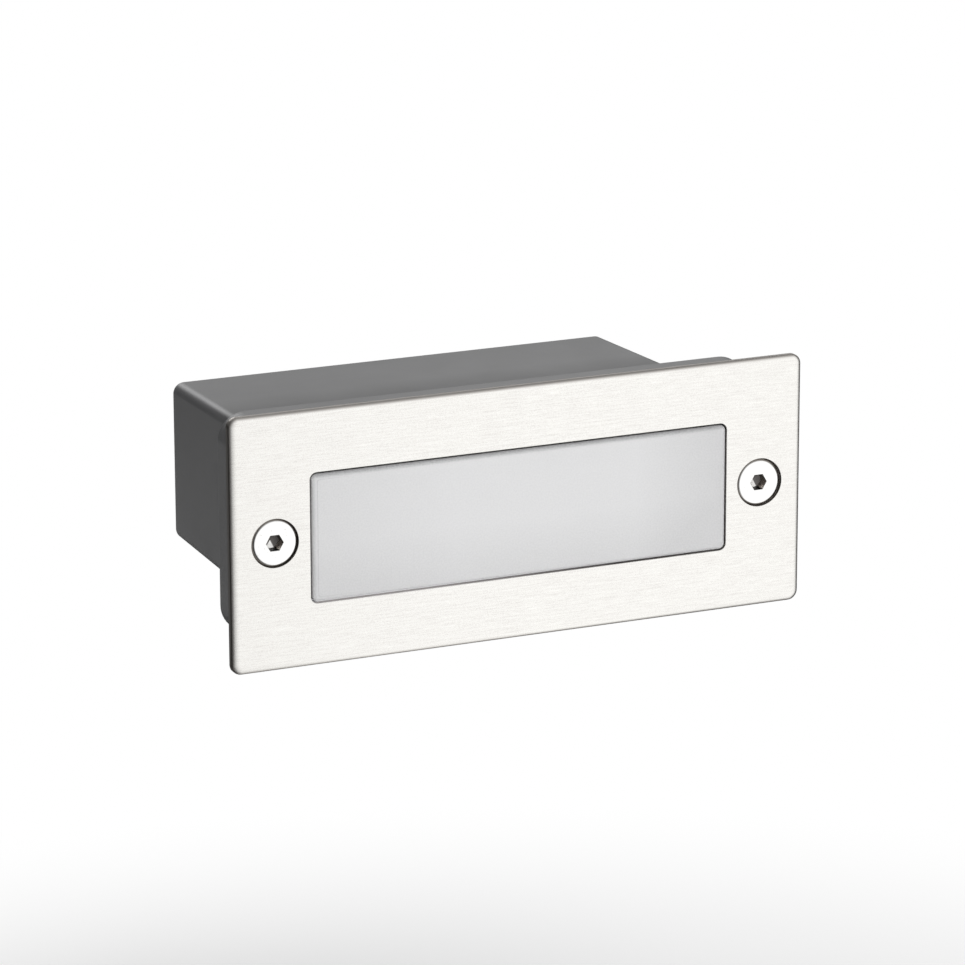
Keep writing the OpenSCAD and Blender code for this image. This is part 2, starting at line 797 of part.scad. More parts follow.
module terminal_screws() {
    top = cover_rear + terminal_h - terminal_screw_sink;
    shoulder = tube_y + tube_r + tube_wall;
    color(bright_steel) for (share = pole_shares, k = [-1, 1]) difference() {
        union() {
            rod(terminal_x + share * pole_pitch, k * terminal_screw_z, lead_y + lead_r,
                top - lead_y - lead_r, terminal_screw_r);
            rod(terminal_x + share * pole_pitch, k * terminal_screw_z, shoulder, top - shoulder,
                terminal_screw_head_r);
        }
        translate([terminal_x + share * pole_pitch, top, k * terminal_screw_z])
            cube([2 * tower_r, 2 * terminal_screw_slot, terminal_screw_slot], center = true);
    }
}

module terminal_block_screw() {
    head_face = cover_rear + terminal_base_h;
    color(bright_steel) {
        rod(terminal_x, 0, tray_rear, head_face - tray_rear, terminal_fix_r);
        rod(terminal_x, 0, head_face, terminal_fix_head_t, terminal_fix_head_r);
    }
}

module diffuser() {
    color(opal) {
        slab(flange_sink, flange_t) round_rect(flange_w, flange_h, flange_corner);
        soft_slab(lens_w, lens_h, flange_sink + gasket_t + plate_t + lens_proud, flange_sink,
            lens_corner, lens_edge);
    }
}

module faceplate() {
    color(steel) difference() {
        soft_slab(plate_w, plate_h, plate_t, plate_back, plate_corner, plate_edge);
        slab(plate_front - overrun, plate_t + 2 * overrun)
            round_rect(window_w, window_h, window_corner);
        for (side = [-1, 1]) {
            rod(side * screw_x, 0, plate_front - overrun, cone_y - plate_front + overrun,
                head_r + head_gap);
            rod(side * screw_x, 0, cone_y, head_r, head_r + head_gap, head_gap);
        }
    }
}

module wall_gasket() {
    color(black_rubber) difference() {
        slab(plate_back, gasket_t) round_rect(plate_w - 2 * wall_gasket_inset,
            plate_h - 2 * wall_gasket_inset, plate_corner);
        slab(plate_back - overrun, gasket_t + 2 * overrun)
            round_rect(collar_w + 2 * wall_gasket_gap, collar_h + 2 * wall_gasket_gap,
                collar_corner + wall_gasket_gap);
    }
}

module front_gasket() {
    color(seal_grey) difference() {
        slab(plate_back, gasket_t + flange_sink)
            round_rect(flange_w - 2 * fit, flange_h - 2 * fit, flange_corner);
        slab(plate_back - overrun, gasket_t + flange_sink + 2 * overrun)
            round_rect(window_w + 2 * fit, window_h + 2 * fit, window_corner + fit);
    }
}

module plate_screw(side) {
    color(bright_steel) difference() {
        union() {
            rod(side * screw_x, 0, head_y, bevel_depth, head_r - head_bevel, head_r);
            rod(side * screw_x, 0, head_y + bevel_depth, head_land, head_r);
            rod(side * screw_x, 0, cone_y, head_r - screw_r, head_r, screw_r);
            rod(side * screw_x, 0, head_y + bevel_depth, screw_len - bevel_depth, screw_r);
        }
        hexagon(side * screw_x, 0, head_y - overrun, socket_depth + overrun, socket_af);
        rod(side * screw_x, 0, head_y + socket_depth, socket_af / 4, socket_af / 2, 0);
    }
}

module screw_retainer(side) {
    color(white_plastic) difference() {
        rod(side * screw_x, 0, retainer_y, retainer_t, retainer_r);
        rod(side * screw_x, 0, retainer_y - overrun, retainer_t + 2 * overrun, screw_r + running);
    }
}

module left_screw() plate_screw(-1);

module right_screw() plate_screw(1);

module left_screw_retainer() screw_retainer(-1);

module right_screw_retainer() screw_retainer(1);

recess_box();
threaded_inserts();
gland_body();
gland_washer();
gland_locknut();
gland_seal();
gland_clamp_ring();
gland_nut();
lamp_tray();
diffuser_seal();
reflector();
led_board();
led_packages();
heat_spreader();
led_board_screws();
driver_board();
driver_transformer();
driver_capacitors();
driver_choke();
driver_chips();
driver_board_screws();
gear_cover();
gear_cover_screws();
lead_grommet();
supply_leads();
led_leads();
terminal_block();
terminal_tubes();
terminal_screws();
terminal_block_screw();
diffuser();
faceplate();
wall_gasket();
front_gasket();
left_screw();
right_screw();
left_screw_retainer();
right_screw_retainer();
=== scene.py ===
import json
import math

import bmesh
import bpy
import numpy as np
from mathutils import Matrix, Vector
from mathutils.geometry import delaunay_2d_cdt


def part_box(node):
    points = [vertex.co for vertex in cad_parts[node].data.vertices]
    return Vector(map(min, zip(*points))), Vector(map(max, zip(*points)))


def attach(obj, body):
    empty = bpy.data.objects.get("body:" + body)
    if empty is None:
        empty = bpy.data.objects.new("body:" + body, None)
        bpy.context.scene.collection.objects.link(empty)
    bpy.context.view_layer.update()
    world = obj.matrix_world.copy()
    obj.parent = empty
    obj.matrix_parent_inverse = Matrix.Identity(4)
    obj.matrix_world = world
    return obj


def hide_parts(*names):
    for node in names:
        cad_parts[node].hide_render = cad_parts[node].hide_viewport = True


# Recessed step light: brushed faceplate, opal diffuser and socket screws in front of a moulded
# recess box with a cable gland. Everything is in metres, with X along the faceplate, Y into the
# wall and Z up. The shapes below are written in millimetres and brought to metres by MM.

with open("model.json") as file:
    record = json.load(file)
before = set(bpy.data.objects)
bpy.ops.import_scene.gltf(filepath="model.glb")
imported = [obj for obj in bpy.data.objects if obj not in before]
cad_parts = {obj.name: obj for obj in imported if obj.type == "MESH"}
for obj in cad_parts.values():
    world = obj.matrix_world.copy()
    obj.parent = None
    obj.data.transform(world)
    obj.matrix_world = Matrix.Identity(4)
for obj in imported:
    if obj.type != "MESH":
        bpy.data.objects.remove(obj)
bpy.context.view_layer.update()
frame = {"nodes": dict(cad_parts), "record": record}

MM = 0.001


# Sizes of the CAD nodes that the new pieces stand for

def node_edges(node):
    """Lowest and highest corner of a node, in millimetres."""
    low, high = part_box(node)
    return np.array(low) / MM, np.array(high) / MM


plate_low, plate_high = node_edges("faceplate")
lens_low, lens_high = node_edges("diffuser")
screw_low, screw_high = node_edges("right_screw")
insert_low = node_edges("threaded_inserts")[0]
box_high = node_edges("recess_box")[1]
nut_low, nut_high = node_edges("gland_nut")
body_low, body_high = node_edges("gland_body")
washer_high = node_edges("gland_washer")[1]
seal_low = node_edges("gland_seal")[0]
leds_low, leds_high = node_edges("led_packages")

PLATE_W, PLATE_H = plate_high[0] * 2, plate_high[2] * 2
PLATE_FRONT, PLATE_BACK = plate_low[1], plate_high[1]
PLATE_CORNER, PLATE_ROLL, PLATE_CAMBER = 2.0, 0.6, 1.5
WINDOW_W, WINDOW_H, WINDOW_CORNER = 87.58, 25.64, 1.4
LENS_W, LENS_H, LENS_CORNER, LENS_ROLL = 86.98, 25.04, 1.1, 0.8
LENS_WALL, LENS_THICK, HOLLOW_CORNER = 2.0, 2.2, 1.5
LENS_FRONT, FLANGE_BACK = lens_low[1], lens_high[1]
FLANGE_W, FLANGE_H, FLANGE_CORNER = lens_high[0] * 2, lens_high[2] * 2, 2.45
FLANGE_FRONT = FLANGE_BACK - 2.0
SCREW_X = (screw_low[0] + screw_high[0]) / 2
HEAD_R = (screw_high[0] - screw_low[0]) / 2
HEAD_FLAT_R = HEAD_R - 0.58
HEAD_FRONT, SCREW_TIP = screw_low[1], screw_high[1]
CONE_START = HEAD_FRONT + 0.5
SHANK_R, SOCKET_AF, SOCKET_DEPTH = 2.45, 3.05, 2.2
THREAD_DEPTH, THREAD_PITCH, PLAIN_SHANK, TIP_CHAMFER = 0.35, 0.8, 1.2, 0.5
HOLE_R, RIGHT_HOLE_WIDER, RIGHT_HOLE_SHIFT = 4.78, 0.06, 0.1
COLLAR_W, COLLAR_H, COLLAR_CORNER = box_high[0] * 2, box_high[2] * 2, 5.6
COLLAR_DEPTH = 14.67
BOX_REAR = box_high[1]
BOX_W, BOX_H, BOX_CORNER, LINING_CORNER = 96.5, 34.14, 2.2, 0.6
TAPER, BOX_WALL, COLLAR_WALL = 1.0, 2.5, 2.2
POCKET_W, POCKET_H, POCKET_CORNER, POCKET_DEPTH = 92.28, 38.94, 2.8, 5.5
POCKET_WALL = 1.5
BOSS_R, COUNTERBORE_R, INSERT_HOLE_R, BOSS_END = 4.82, 3.6, 3.22, 13.05
INSERT_FRONT = insert_low[1]
GLAND_HOLE_R, GLAND_R, GLAND_FLAT, GLAND_FLANGE = 6.1, 6.0, 7.6, 4.0
GLAND_THREAD, GLAND_PITCH = 0.4, 1.5
CABLE_R, SEAL_R, DOME_HEIGHT = 3.6, 4.4, 2.4
LED_W, LED_COUNT, GEL_R = 3.5, 12, 1.08

CORNER_STEPS = 12
LEAST_CORNER = 0.15
UNCUT = 99.0


# Outlines and profiles, all in millimetres

def full_turn(steps):
    """Even angles once round, in radians."""
    return np.arange(steps) / steps * 2 * np.pi


def rounded_outline(width, height, radius):
    """Rounded rectangle in X and Z: a quarter circle of the radius about each corner's centre,
    x = cx + r cos a and z = cz + r sin a, with the straight sides between them."""
    turn = np.linspace(0, np.pi / 2, CORNER_STEPS + 1)
    start = np.repeat(np.arange(4), CORNER_STEPS + 1) * np.pi / 2
    angle = start + np.tile(turn, 4)
    side_x = np.repeat([1, -1, -1, 1], CORNER_STEPS + 1) * (width / 2 - radius)
    side_z = np.repeat([1, 1, -1, -1], CORNER_STEPS + 1) * (height / 2 - radius)
    return np.column_stack([side_x + radius * np.cos(angle), side_z + radius * np.sin(angle)])


def lift(loop, y):
    """Puts a flat loop of X and Z into space at the depth y."""
    return np.column_stack([loop[:, 0], np.full(len(loop), y), loop[:, 1]])


def round_loop(angle, radius, y, centre_x):
    """Loop at the depth y round the axis through centre_x: x = centre_x + r cos a, z = r sin a.
    The radius is one number, or one for each angle."""
    return np.column_stack([centre_x + radius * np.cos(angle), np.full(len(angle), y),
                            radius * np.sin(angle)])


def quarter(start, end, steps, outwards_first=False):
    """Quarter of an ellipse between two (inset, y) points. It leaves the start along y, or with
    outwards_first along the inset, and arrives square to that."""
    t = np.linspace(0, np.pi / 2, steps + 1)
    slow, fast = 1 - np.cos(t), np.sin(t)
    share_inset, share_y = (fast, slow) if outwards_first else (slow, fast)
    return [(start[0] + (end[0] - start[0]) * a, start[1] + (end[1] - start[1]) * b)
            for a, b in zip(share_inset, share_y)]


def swept_outline(profile, width, height, radius, taper=None):
    """The loops of a rounded rectangle carried along a profile of (inset, y) points: at each one
    every side moves in by the inset. A taper (y0, y1, amount) moves the sides in evenly with y."""
    loops = []
    for inset, y in profile:
        corner = max(radius - inset, LEAST_CORNER)
        if taper:
            start, end, amount = taper
            inset = inset + np.clip((y - start) / (end - start), 0, 1) * amount
            corner = radius
        loops.append(lift(rounded_outline(width - 2 * inset, height - 2 * inset, corner), y))
    return loops


def turned_loops(profile, centre_x=0.0, steps=64):
    """The loops of a turned part: circles about the axis through centre_x, one for each
    (radius, y) point of the profile."""
    return [round_loop(full_turn(steps), r, y, centre_x) for r, y in profile]


def hexagon_loops(profile, centre_x=0.0, steps=96):
    """Loops of a hexagonal bar with flats above and below, trimmed to a cap radius: at the angle a
    the radius is the smaller of flat / cos(angle to the nearest flat) and the cap. The profile is
    of (flat, cap, y) points, where UNCUT stands for no flats or no cap."""
    angle = full_turn(steps)
    off_flat = (angle - np.pi / 2 + np.pi / 6) % (np.pi / 3) - np.pi / 6
    return [round_loop(angle, np.minimum(flat / np.cos(off_flat), cap), y, centre_x)
            for flat, cap, y in profile]


def thread_loops(crest_r, depth, pitch, start, end, centre_x=0.0, per_turn=8, steps=96):
    """Loops of a threaded shank: the radius drops below the crest by the depth times a triangle
    wave of y / pitch - angle / 2 pi, cut flat at its crests and roots. The thread fades in and
    out over one turn."""
    count = int(round((end - start) / pitch * per_turn)) + 1
    angle = full_turn(steps)
    loops = []
    for y in np.linspace(start, end, count):
        phase = (y / pitch - angle / (2 * np.pi)) % 1
        tooth = np.clip(np.abs(2 * phase - 1) * 1.3 - 0.15, 0, 1)
        fade = np.clip(min(y - start, end - y) / pitch, 0, 1)
        loops.append(round_loop(angle, crest_r - depth * fade * tooth, y, centre_x))
    return loops


# Surfaces: each is a pair of points (n by 3) and faces

def band(loops):
    """Joins each loop to the next with one quad per point, closed round the loop."""
    count = len(loops[0])
    points = np.vstack(loops)
    i = np.arange(count)
    j = (i + 1) % count
    rows = np.arange(len(loops) - 1)[:, None] * count
    quads = np.stack([rows + i, rows + j, rows + j + count, rows + i + count], axis=2)
    return points, quads.reshape(-1, 4).tolist()


def inside(loop, points):
    """Even-odd test of which (x, z) points lie in a closed loop."""
    x, z = points[:, :1], points[:, 1:]
    ax, az = loop[:, 0], loop[:, 1]
    bx, bz = np.roll(ax, -1), np.roll(az, -1)
    crosses = (az > z) != (bz > z)
    rise = np.where(bz == az, 1, bz - az)
    return (crosses & (x < (bx - ax) * (z - az) / rise + ax)).sum(axis=1) % 2 == 1


def cover(loops):
    """Flat face at one depth that fills the first loop and leaves the others open."""
    flat = [loop[:, [0, 2]] for loop in loops]
    points = np.vstack(flat)
    edges, first = [], 0
    for loop in flat:
        count = len(loop)
        edges += [(first + i, first + (i + 1) % count) for i in range(count)]
        first += count
    found, _, faces, _, _, _ = delaunay_2d_cdt([Vector(p) for p in points], edges, [], 0, 1e-7)
    found = np.array([tuple(p) for p in found])
    faces = np.array(faces)
    middle = found[faces].mean(axis=1)
    kept = inside(flat[0], middle)
    for loop in flat[1:]:
        kept &= ~inside(loop, middle)
    return lift(found, loops[0][0, 1]), faces[kept].tolist()


def closed_end(loop):
    """Closes a round loop with a fan of triangles about its centre."""
    count = len(loop)
    points = np.vstack([loop, loop.mean(axis=0)])
    return points, [(i, (i + 1) % count, count) for i in range(count)]


def make_piece(name, surfaces, body, slot, nodes=(), sharp=32.0):
    """Joins surfaces into one closed mesh, in metres, with smooth shading below the sharp angle
    and the normals of its flat faces kept square to them."""
    points, faces, first = [], [], 0
    for some_points, some_faces in surfaces:
        points.append(some_points)
        faces += [tuple(first + i for i in face) for face in some_faces]
        first += len(some_points)
    mesh = bpy.data.meshes.new(name)
    mesh.from_pydata((np.vstack(points) * MM).tolist(), [], faces)
    work = bmesh.new()
    work.from_mesh(mesh)
    bmesh.ops.remove_doubles(work, verts=work.verts, dist=2e-6)
    bmesh.ops.dissolve_degenerate(work, edges=work.edges, dist=1e-7)
    bmesh.ops.recalc_face_normals(work, faces=work.faces)
    work.to_mesh(mesh)
    work.free()
    mesh.polygons.foreach_set("use_smooth", [True] * len(mesh.polygons))
    mesh.set_sharp_from_angle(angle=math.radians(sharp))
    piece = bpy.data.objects.new(name, mesh)
    bpy.context.scene.collection.objects.link(piece)
    even = piece.modifiers.new("even shading", "WEIGHTED_NORMAL")
    even.mode, even.keep_sharp, even.weight = "FACE_AREA", True, 60
    piece.data.materials.append(finishes[slot])
    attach(piece, body)
    if nodes:
        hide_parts(*nodes)


# Finishes

def make_group(name, inputs, outputs):
    """Empty shader group with named sockets, each given as (name, kind, value)."""
    group = bpy.data.node_groups.new(name, "ShaderNodeTree")
    for label, kind, value in inputs:
        socket = group.interface.new_socket(name=label, in_out="INPUT", socket_type=kind)
        if value is not None:
            socket.default_value = value
    for label, kind in outputs:
        group.interface.new_socket(name=label, in_out="OUTPUT", socket_type=kind)
    entry = group.nodes.new("NodeGroupInput")
    leave = group.nodes.new("NodeGroupOutput")
    return group, entry, leave

def feed(tree, socket, value):
    """Links a socket to a value that is a socket itself, or sets it to the plain value."""
    if isinstance(value, bpy.types.NodeSocket):
        tree.links.new(value, socket)
    else:
        socket.default_value = value


def maths(tree, operation, *values):
    """A Math node whose inputs are sockets or numbers."""
    node = tree.nodes.new("ShaderNodeMath")
    node.operation = operation
    for socket, value in zip(node.inputs, values):
        feed(tree, socket, value)
    return node.outputs[0]


def noise(tree, point, scale, detail, roughness=0.5):
    """A Noise Texture whose scale is a socket or a number."""
    node = tree.nodes.new("ShaderNodeTexNoise")
    feed(tree, node.inputs["Vector"], point)
    feed(tree, node.inputs["Scale"], scale)
    node.inputs["Detail"].default_value = detail
    node.inputs["Roughness"].default_value = roughness
    return node.outputs["Fac"]


def scaled(tree, point, factor):
    """A point multiplied, axis by axis, by a vector."""
    node = tree.nodes.new("ShaderNodeVectorMath")
    node.operation = "MULTIPLY"
    feed(tree, node.inputs[0], point)
    feed(tree, node.inputs[1], factor)
    return node.outputs[0]


def separate(tree, point):
    """The X, Y and Z of a point."""
    node = tree.nodes.new("ShaderNodeSeparateXYZ")
    feed(tree, node.inputs[0], point)
    return node.outputs["X"], node.outputs["Y"], node.outputs["Z"]


def distance(tree, a, b):
    """The root of a squared plus b squared."""
    squares = maths(tree, "ADD", maths(tree, "MULTIPLY", a, a), maths(tree, "MULTIPLY", b, b))
    return maths(tree, "SQRT", squares)


VECTOR, FLOAT = "NodeSocketVector", "NodeSocketFloat"


def brushing_group():
    """Brushed metal: fine strokes and broader ones, each a noise stretched along the stroke, and
    an even grain beside them."""
    group, entry, leave = make_group(
        "brush strokes",
        [("Point", VECTOR, None), ("Fine Strokes", VECTOR, (60.0, 3000.0, 3000.0)),
         ("Broad Strokes", VECTOR, (15.0, 600.0, 600.0)), ("Grains per Metre", FLOAT, 5000.0)],
        [("Strokes", FLOAT), ("Grains", FLOAT)])
    point = entry.outputs["Point"]
    fine = noise(group, scaled(group, point, entry.outputs["Fine Strokes"]), 1.0, 2.0)
    broad = noise(group, scaled(group, point, entry.outputs["Broad Strokes"]), 1.0, 2.0)
    grains = noise(group, point, entry.outputs["Grains per Metre"], 1.0)
    strokes = maths(group, "MULTIPLY_ADD", fine, 0.65, maths(group, "MULTIPLY", broad, 0.35))
    group.links.new(strokes, leave.inputs["Strokes"])
    group.links.new(grains, leave.inputs["Grains"])
    return group


def grain_group():
    """Moulded grain: small rounded pits, and a slow mottle in the colour and gloss."""
    group, entry, leave = make_group(
        "moulded grain",
        [("Point", VECTOR, None), ("Pits per Metre", FLOAT, 2500.0),
         ("Mottles per Metre", FLOAT, 60.0)],
        [("Pits", FLOAT), ("Mottle", FLOAT)])
    point = entry.outputs["Point"]
    pits = noise(group, point, entry.outputs["Pits per Metre"], 2.0, 0.6)
    mottle = noise(group, point, entry.outputs["Mottles per Metre"], 3.0)
    group.links.new(pits, leave.inputs["Pits"])
    group.links.new(mottle, leave.inputs["Mottle"])
    return group


def turning_group():
    """Turned metal: rings about an axis along Y from the distance to it, and a noise for specks."""
    group, entry, leave = make_group(
        "turning marks",
        [("Point", VECTOR, None), ("Axis Distance", FLOAT, 0.0),
         ("Rings per Metre", FLOAT, 6000.0)],
        [("Rings", FLOAT), ("Specks", FLOAT)])
    point = entry.outputs["Point"]
    x, _, z = separate(group, point)
    across = maths(group, "SUBTRACT", maths(group, "ABSOLUTE", x), entry.outputs["Axis Distance"])
    phase = maths(group, "MULTIPLY", distance(group, across, z), entry.outputs["Rings per Metre"])
    rings = maths(group, "MULTIPLY_ADD", maths(group, "SINE", phase), 0.5, 0.5)
    specks = noise(group, point, 1800.0, 4.0, 0.7)
    group.links.new(rings, leave.inputs["Rings"])
    group.links.new(specks, leave.inputs["Specks"])
    return group


brushing = brushing_group()
grain = grain_group()
turning = turning_group()


class Finish:
    """One material being put together: its tree, its shader and its object coordinates."""

    def __init__(self, name):
        self.material = bpy.data.materials.new(name)
        self.material.use_nodes = True
        self.tree = self.material.node_tree
        self.shader = self.tree.nodes["Principled BSDF"]
        self.point = self.tree.nodes.new("ShaderNodeTexCoord").outputs["Object"]

    def place(self, group, **values):
        """Places a group, fed with the object coordinates and the named values."""
        node = self.tree.nodes.new("ShaderNodeGroup")
        node.node_tree = group
        self.tree.links.new(self.point, node.inputs["Point"])
        for label, value in values.items():
            node.inputs[label.replace("_", " ")].default_value = value
        return node.outputs

    def ramp(self, value, low, high, start=0.3, end=0.7):
        """Brings a value from start..end to low..high."""
        node = self.tree.nodes.new("ShaderNodeMapRange")
        node.inputs["From Min"].default_value = start
        node.inputs["From Max"].default_value = end
        node.inputs["To Min"].default_value = low
        node.inputs["To Max"].default_value = high
        self.tree.links.new(value, node.inputs["Value"])
        return node.outputs["Result"]

    def mask(self, place, start, end, low=0.0, high=1.0):
        """Brings a coordinate from start..end, in millimetres, to low..high."""
        return self.ramp(place, low, high, start * MM, end * MM)

    def blend(self, share, one, other):
        """Mixes two colours, each a socket or three numbers, by a share."""
        node = self.tree.nodes.new("ShaderNodeMix")
        node.data_type = "RGBA"
        self.tree.links.new(share, node.inputs[0])
        for socket, colour in ((node.inputs[6], one), (node.inputs[7], other)):
            feed(self.tree, socket, (*colour, 1.0) if isinstance(colour, tuple) else colour)
        return node.outputs[2]

    def bump(self, height, depth):
        """Raises the surface by the height times the depth, in metres."""
        node = self.tree.nodes.new("ShaderNodeBump")
        node.inputs["Strength"].default_value = 1.0
        node.inputs["Distance"].default_value = depth
        self.tree.links.new(height, node.inputs["Height"])
        self.tree.links.new(node.outputs[0], self.shader.inputs["Normal"])

    def set(self, **values):
        """Feeds the shader's own sockets, each with a socket or a plain value."""
        for label, value in values.items():
            feed(self.tree, self.shader.inputs[label.replace("_", " ")], value)


def tone(colour, factor):
    """A colour made lighter or darker by a factor, and no brighter than white."""
    return tuple(min(1.0, c * factor) for c in colour)


# Colours, as linear red, green and blue

# The plate's rim colour is painted shade, darker than the plate itself
PLATE_TONE, RIM_PAINTED_SHADE, BOX_TONE = (0.918, 0.893, 0.86), (0.56, 0.53, 0.5), (0.088, 0.088, 0.09)
# The screw's flank colour is painted shade on the bevel, cone and shank below the head
HEAD_CLEAN, HEAD_SPECK, HEAD_FLANK_SHADE = (0.98, 0.975, 0.965), (0.8, 0.79, 0.77), (0.3, 0.28, 0.26)
# The socket is painted with light and shade: pale upper walls as if lit, a black lower wall, a dark
# floor and one bright painted glint
SOCKET_PAINTED_LIT_WALL, SOCKET_PAINTED_SHADE = (0.75, 0.71, 0.67), (0.03, 0.03, 0.03)
SOCKET_FLOOR_PAINTED_SHADE, SOCKET_PAINTED_GLINT = (0.15, 0.14, 0.135), (0.97, 0.96, 0.94)
# The opal's face colour, the painted shade that greys it towards its sides and foot, and the
# painted shade of the crease inside its left edge
OPAL_FACE, OPAL_SIDE_SHADE, OPAL_CREASE_SHADE = (0.765, 0.765, 0.77), (0.645, 0.645, 0.65), (0.45, 0.45, 0.455)
# The painted shade of the opal's rounded edge and walls, the painted shadow of its brow, and its
# white flecks
OPAL_EDGE_SHADE, OPAL_BROW_SHADOW, OPAL_FLECK = (0.52, 0.52, 0.525), (0.24, 0.24, 0.245), (1.0, 1.0, 1.0)
# The painted glow of the opal's lower wall, and no glow elsewhere
OPAL_PAINTED_GLOW, UNLIT = (0.95, 0.95, 1.0), (0.0, 0.0, 0.0)

# Where the finishes change, in millimetres

# Painted shade on the box's top behind the collar's step: where it starts and fades in depth, and
# the height above which it lies
PAINTED_SHADE_START, PAINTED_SHADE_END, PAINTED_SHADE_HEIGHT = (14.6, 14.8), (31.0, 42.0), (15.5, 16.3)
# The socket's reach, its lower wall in painted shade, and the way the painted glint faces
SOCKET_REACH, SOCKET_LOWER_WALL, PAINTED_GLINT_WAY = 1.85, (-1.48, -1.35), (-0.14, -0.99)
# The opal's edge rounding, and the inset of its crease of painted shade
OPAL_ROUNDING, OPAL_LINE_INSET = 0.8, 1.05


def brushed_metal(name, colour, rough, fine, broad, depth):
    """Metal brushed along its length, with strokes in the colour, gloss and height."""
    finish = Finish(name)
    strokes = finish.place(brushing, Fine_Strokes=fine, Broad_Strokes=broad)["Strokes"]
    finish.bump(strokes, depth)
    finish.set(Base_Color=finish.blend(finish.ramp(strokes, 0.0, 1.0, 0.25, 0.75),
                                       tone(colour, 0.96), tone(colour, 1.04)),
               Roughness=finish.ramp(strokes, *rough), Metallic=1.0)
    return finish.material


def brushed_plate():
    """Brushed stainless plate: strokes and an even grain on the face, and a rougher, unbrushed rim
    where the metal turns back at its outline, its window and its screw holes. The rim's colour is
    darkened by painted shade, darkest on the plate's two ends."""
    finish = Finish("brushed stainless")
    tree = finish.tree
    marks = finish.place(brushing, Fine_Strokes=(230.0, 5200.0, 5200.0),
                         Broad_Strokes=(90.0, 2600.0, 2600.0), Grains_per_Metre=3600.0)
    mixed = maths(tree, "MULTIPLY_ADD", marks["Strokes"], 0.66,
                  maths(tree, "MULTIPLY", marks["Grains"], 0.34))
    face = finish.blend(finish.ramp(mixed, 0.0, 1.0, 0.32, 0.68), tone(PLATE_TONE, 0.86),
                        tone(PLATE_TONE, 1.11))
    x, y, _ = separate(tree, finish.point)
    rim = finish.mask(y, PLATE_FRONT + 0.1, PLATE_FRONT + 0.3)
    ends = finish.mask(maths(tree, "ABSOLUTE", x), PLATE_W / 2 - 0.25, PLATE_W / 2 - 0.1)
    finish.bump(mixed, 1.2e-6)
    # Painted shade: the rim's colour is darker than the face, and darker still on the plate's two
    # ends
    edge = finish.blend(ends, RIM_PAINTED_SHADE, tone(RIM_PAINTED_SHADE, 0.4))
    finish.set(Base_Color=finish.blend(rim, face, edge),
               Roughness=maths(tree, "MULTIPLY_ADD", rim, 0.2, finish.ramp(mixed, 0.2, 0.3)),
               Metallic=1.0)
    return finish.material


def moulded(name, colour, rough, pits, depth, spread=0.06):
    """Moulded plastic or rubber: pits per metre of the given depth, and a slow mottle that
    spreads the colour and moves the roughness between its two values."""
    finish = Finish(name)
    marks = finish.place(grain, Pits_per_Metre=pits)
    finish.bump(marks["Pits"], depth)
    finish.set(Base_Color=finish.blend(finish.ramp(marks["Mottle"], 0.0, 1.0),
                                       tone(colour, 1 - spread), tone(colour, 1 + spread)),
               Roughness=finish.ramp(marks["Mottle"], *rough))
    return finish.material


def charcoal_box():
    """Charcoal moulding of the recess box, its top darkened by painted shade behind the collar's
    step.
    """
    finish = Finish("charcoal moulding")
    tree = finish.tree
    marks = finish.place(grain, Pits_per_Metre=4500.0)
    _, y, z = separate(tree, finish.point)
    # Painted shade: the box's top is darkened just behind the collar's step, fading out towards the
    # rear
    behind = maths(tree, "MULTIPLY", finish.mask(y, *PAINTED_SHADE_START), finish.mask(y, *PAINTED_SHADE_END, 1.0, 0.0))
    collar_painted_shade = maths(tree, "MULTIPLY", behind, finish.mask(z, *PAINTED_SHADE_HEIGHT))
    clear = finish.blend(marks["Mottle"], tone(BOX_TONE, 0.98), tone(BOX_TONE, 1.02))
    finish.bump(marks["Pits"], 3e-6)
    finish.set(Base_Color=finish.blend(collar_painted_shade, clear, tone(BOX_TONE, 0.4)),
               Roughness=finish.ramp(marks["Mottle"], 0.3, 0.34), Specular_IOR_Level=0.4)
    return finish.material


def polished_screw():
    """Polished stainless: faint turning rings and small specks on the head, a cone and shank
    darkened by painted shade, and a socket painted with light and shade: pale upper walls, a black
    lower wall and a dark floor in painted shade, and one painted glint on the floor."""
    finish = Finish("polished stainless")
    tree = finish.tree
    marks = finish.place(turning, Axis_Distance=SCREW_X * MM, Rings_per_Metre=9000.0)
    x, y, z = separate(tree, finish.point)
    across = maths(tree, "MULTIPLY_ADD", maths(tree, "SIGN", x), -SCREW_X * MM, x)
    radius = distance(tree, across, z)
    near = maths(tree, "LESS_THAN", radius, SOCKET_REACH * MM)
    # Painted glint: one side of the socket's floor turns bright
    along = maths(tree, "MULTIPLY_ADD", across, PAINTED_GLINT_WAY[0],
                  maths(tree, "MULTIPLY", z, PAINTED_GLINT_WAY[1]))
    glint = finish.ramp(maths(tree, "DIVIDE", along, radius), 0.0, 1.0, 0.8, 0.9)
    # Painted shade: the socket's lower wall is black, its upper walls pale as if lit, and its floor
    # dark
    under = finish.mask(z, *SOCKET_LOWER_WALL, 1.0, 0.0)
    # Painted shade darkens the bevel, cone and shank below the head's face, where it sits in the
    # countersink
    deep = finish.mask(y, HEAD_FRONT + 0.04, HEAD_FRONT + 0.14)
    floor = maths(tree, "GREATER_THAN", y, (HEAD_FRONT + SOCKET_DEPTH - 0.03) * MM)
    head = finish.blend(finish.ramp(marks["Specks"], 0.0, 1.0, 0.33, 0.39), HEAD_SPECK, HEAD_CLEAN)
    socket = finish.blend(floor, finish.blend(under, SOCKET_PAINTED_LIT_WALL, SOCKET_PAINTED_SHADE),
                          finish.blend(glint, SOCKET_FLOOR_PAINTED_SHADE, SOCKET_PAINTED_GLINT))
    finish.bump(marks["Rings"], 1.5e-7)
    finish.set(Base_Color=finish.blend(deep, head, finish.blend(near, HEAD_FLANK_SHADE, socket)),
               Roughness=maths(tree, "MULTIPLY_ADD", deep, 0.2,
                               finish.ramp(marks["Specks"], 0.16, 0.07)),
               Metallic=1.0)
    return finish.material


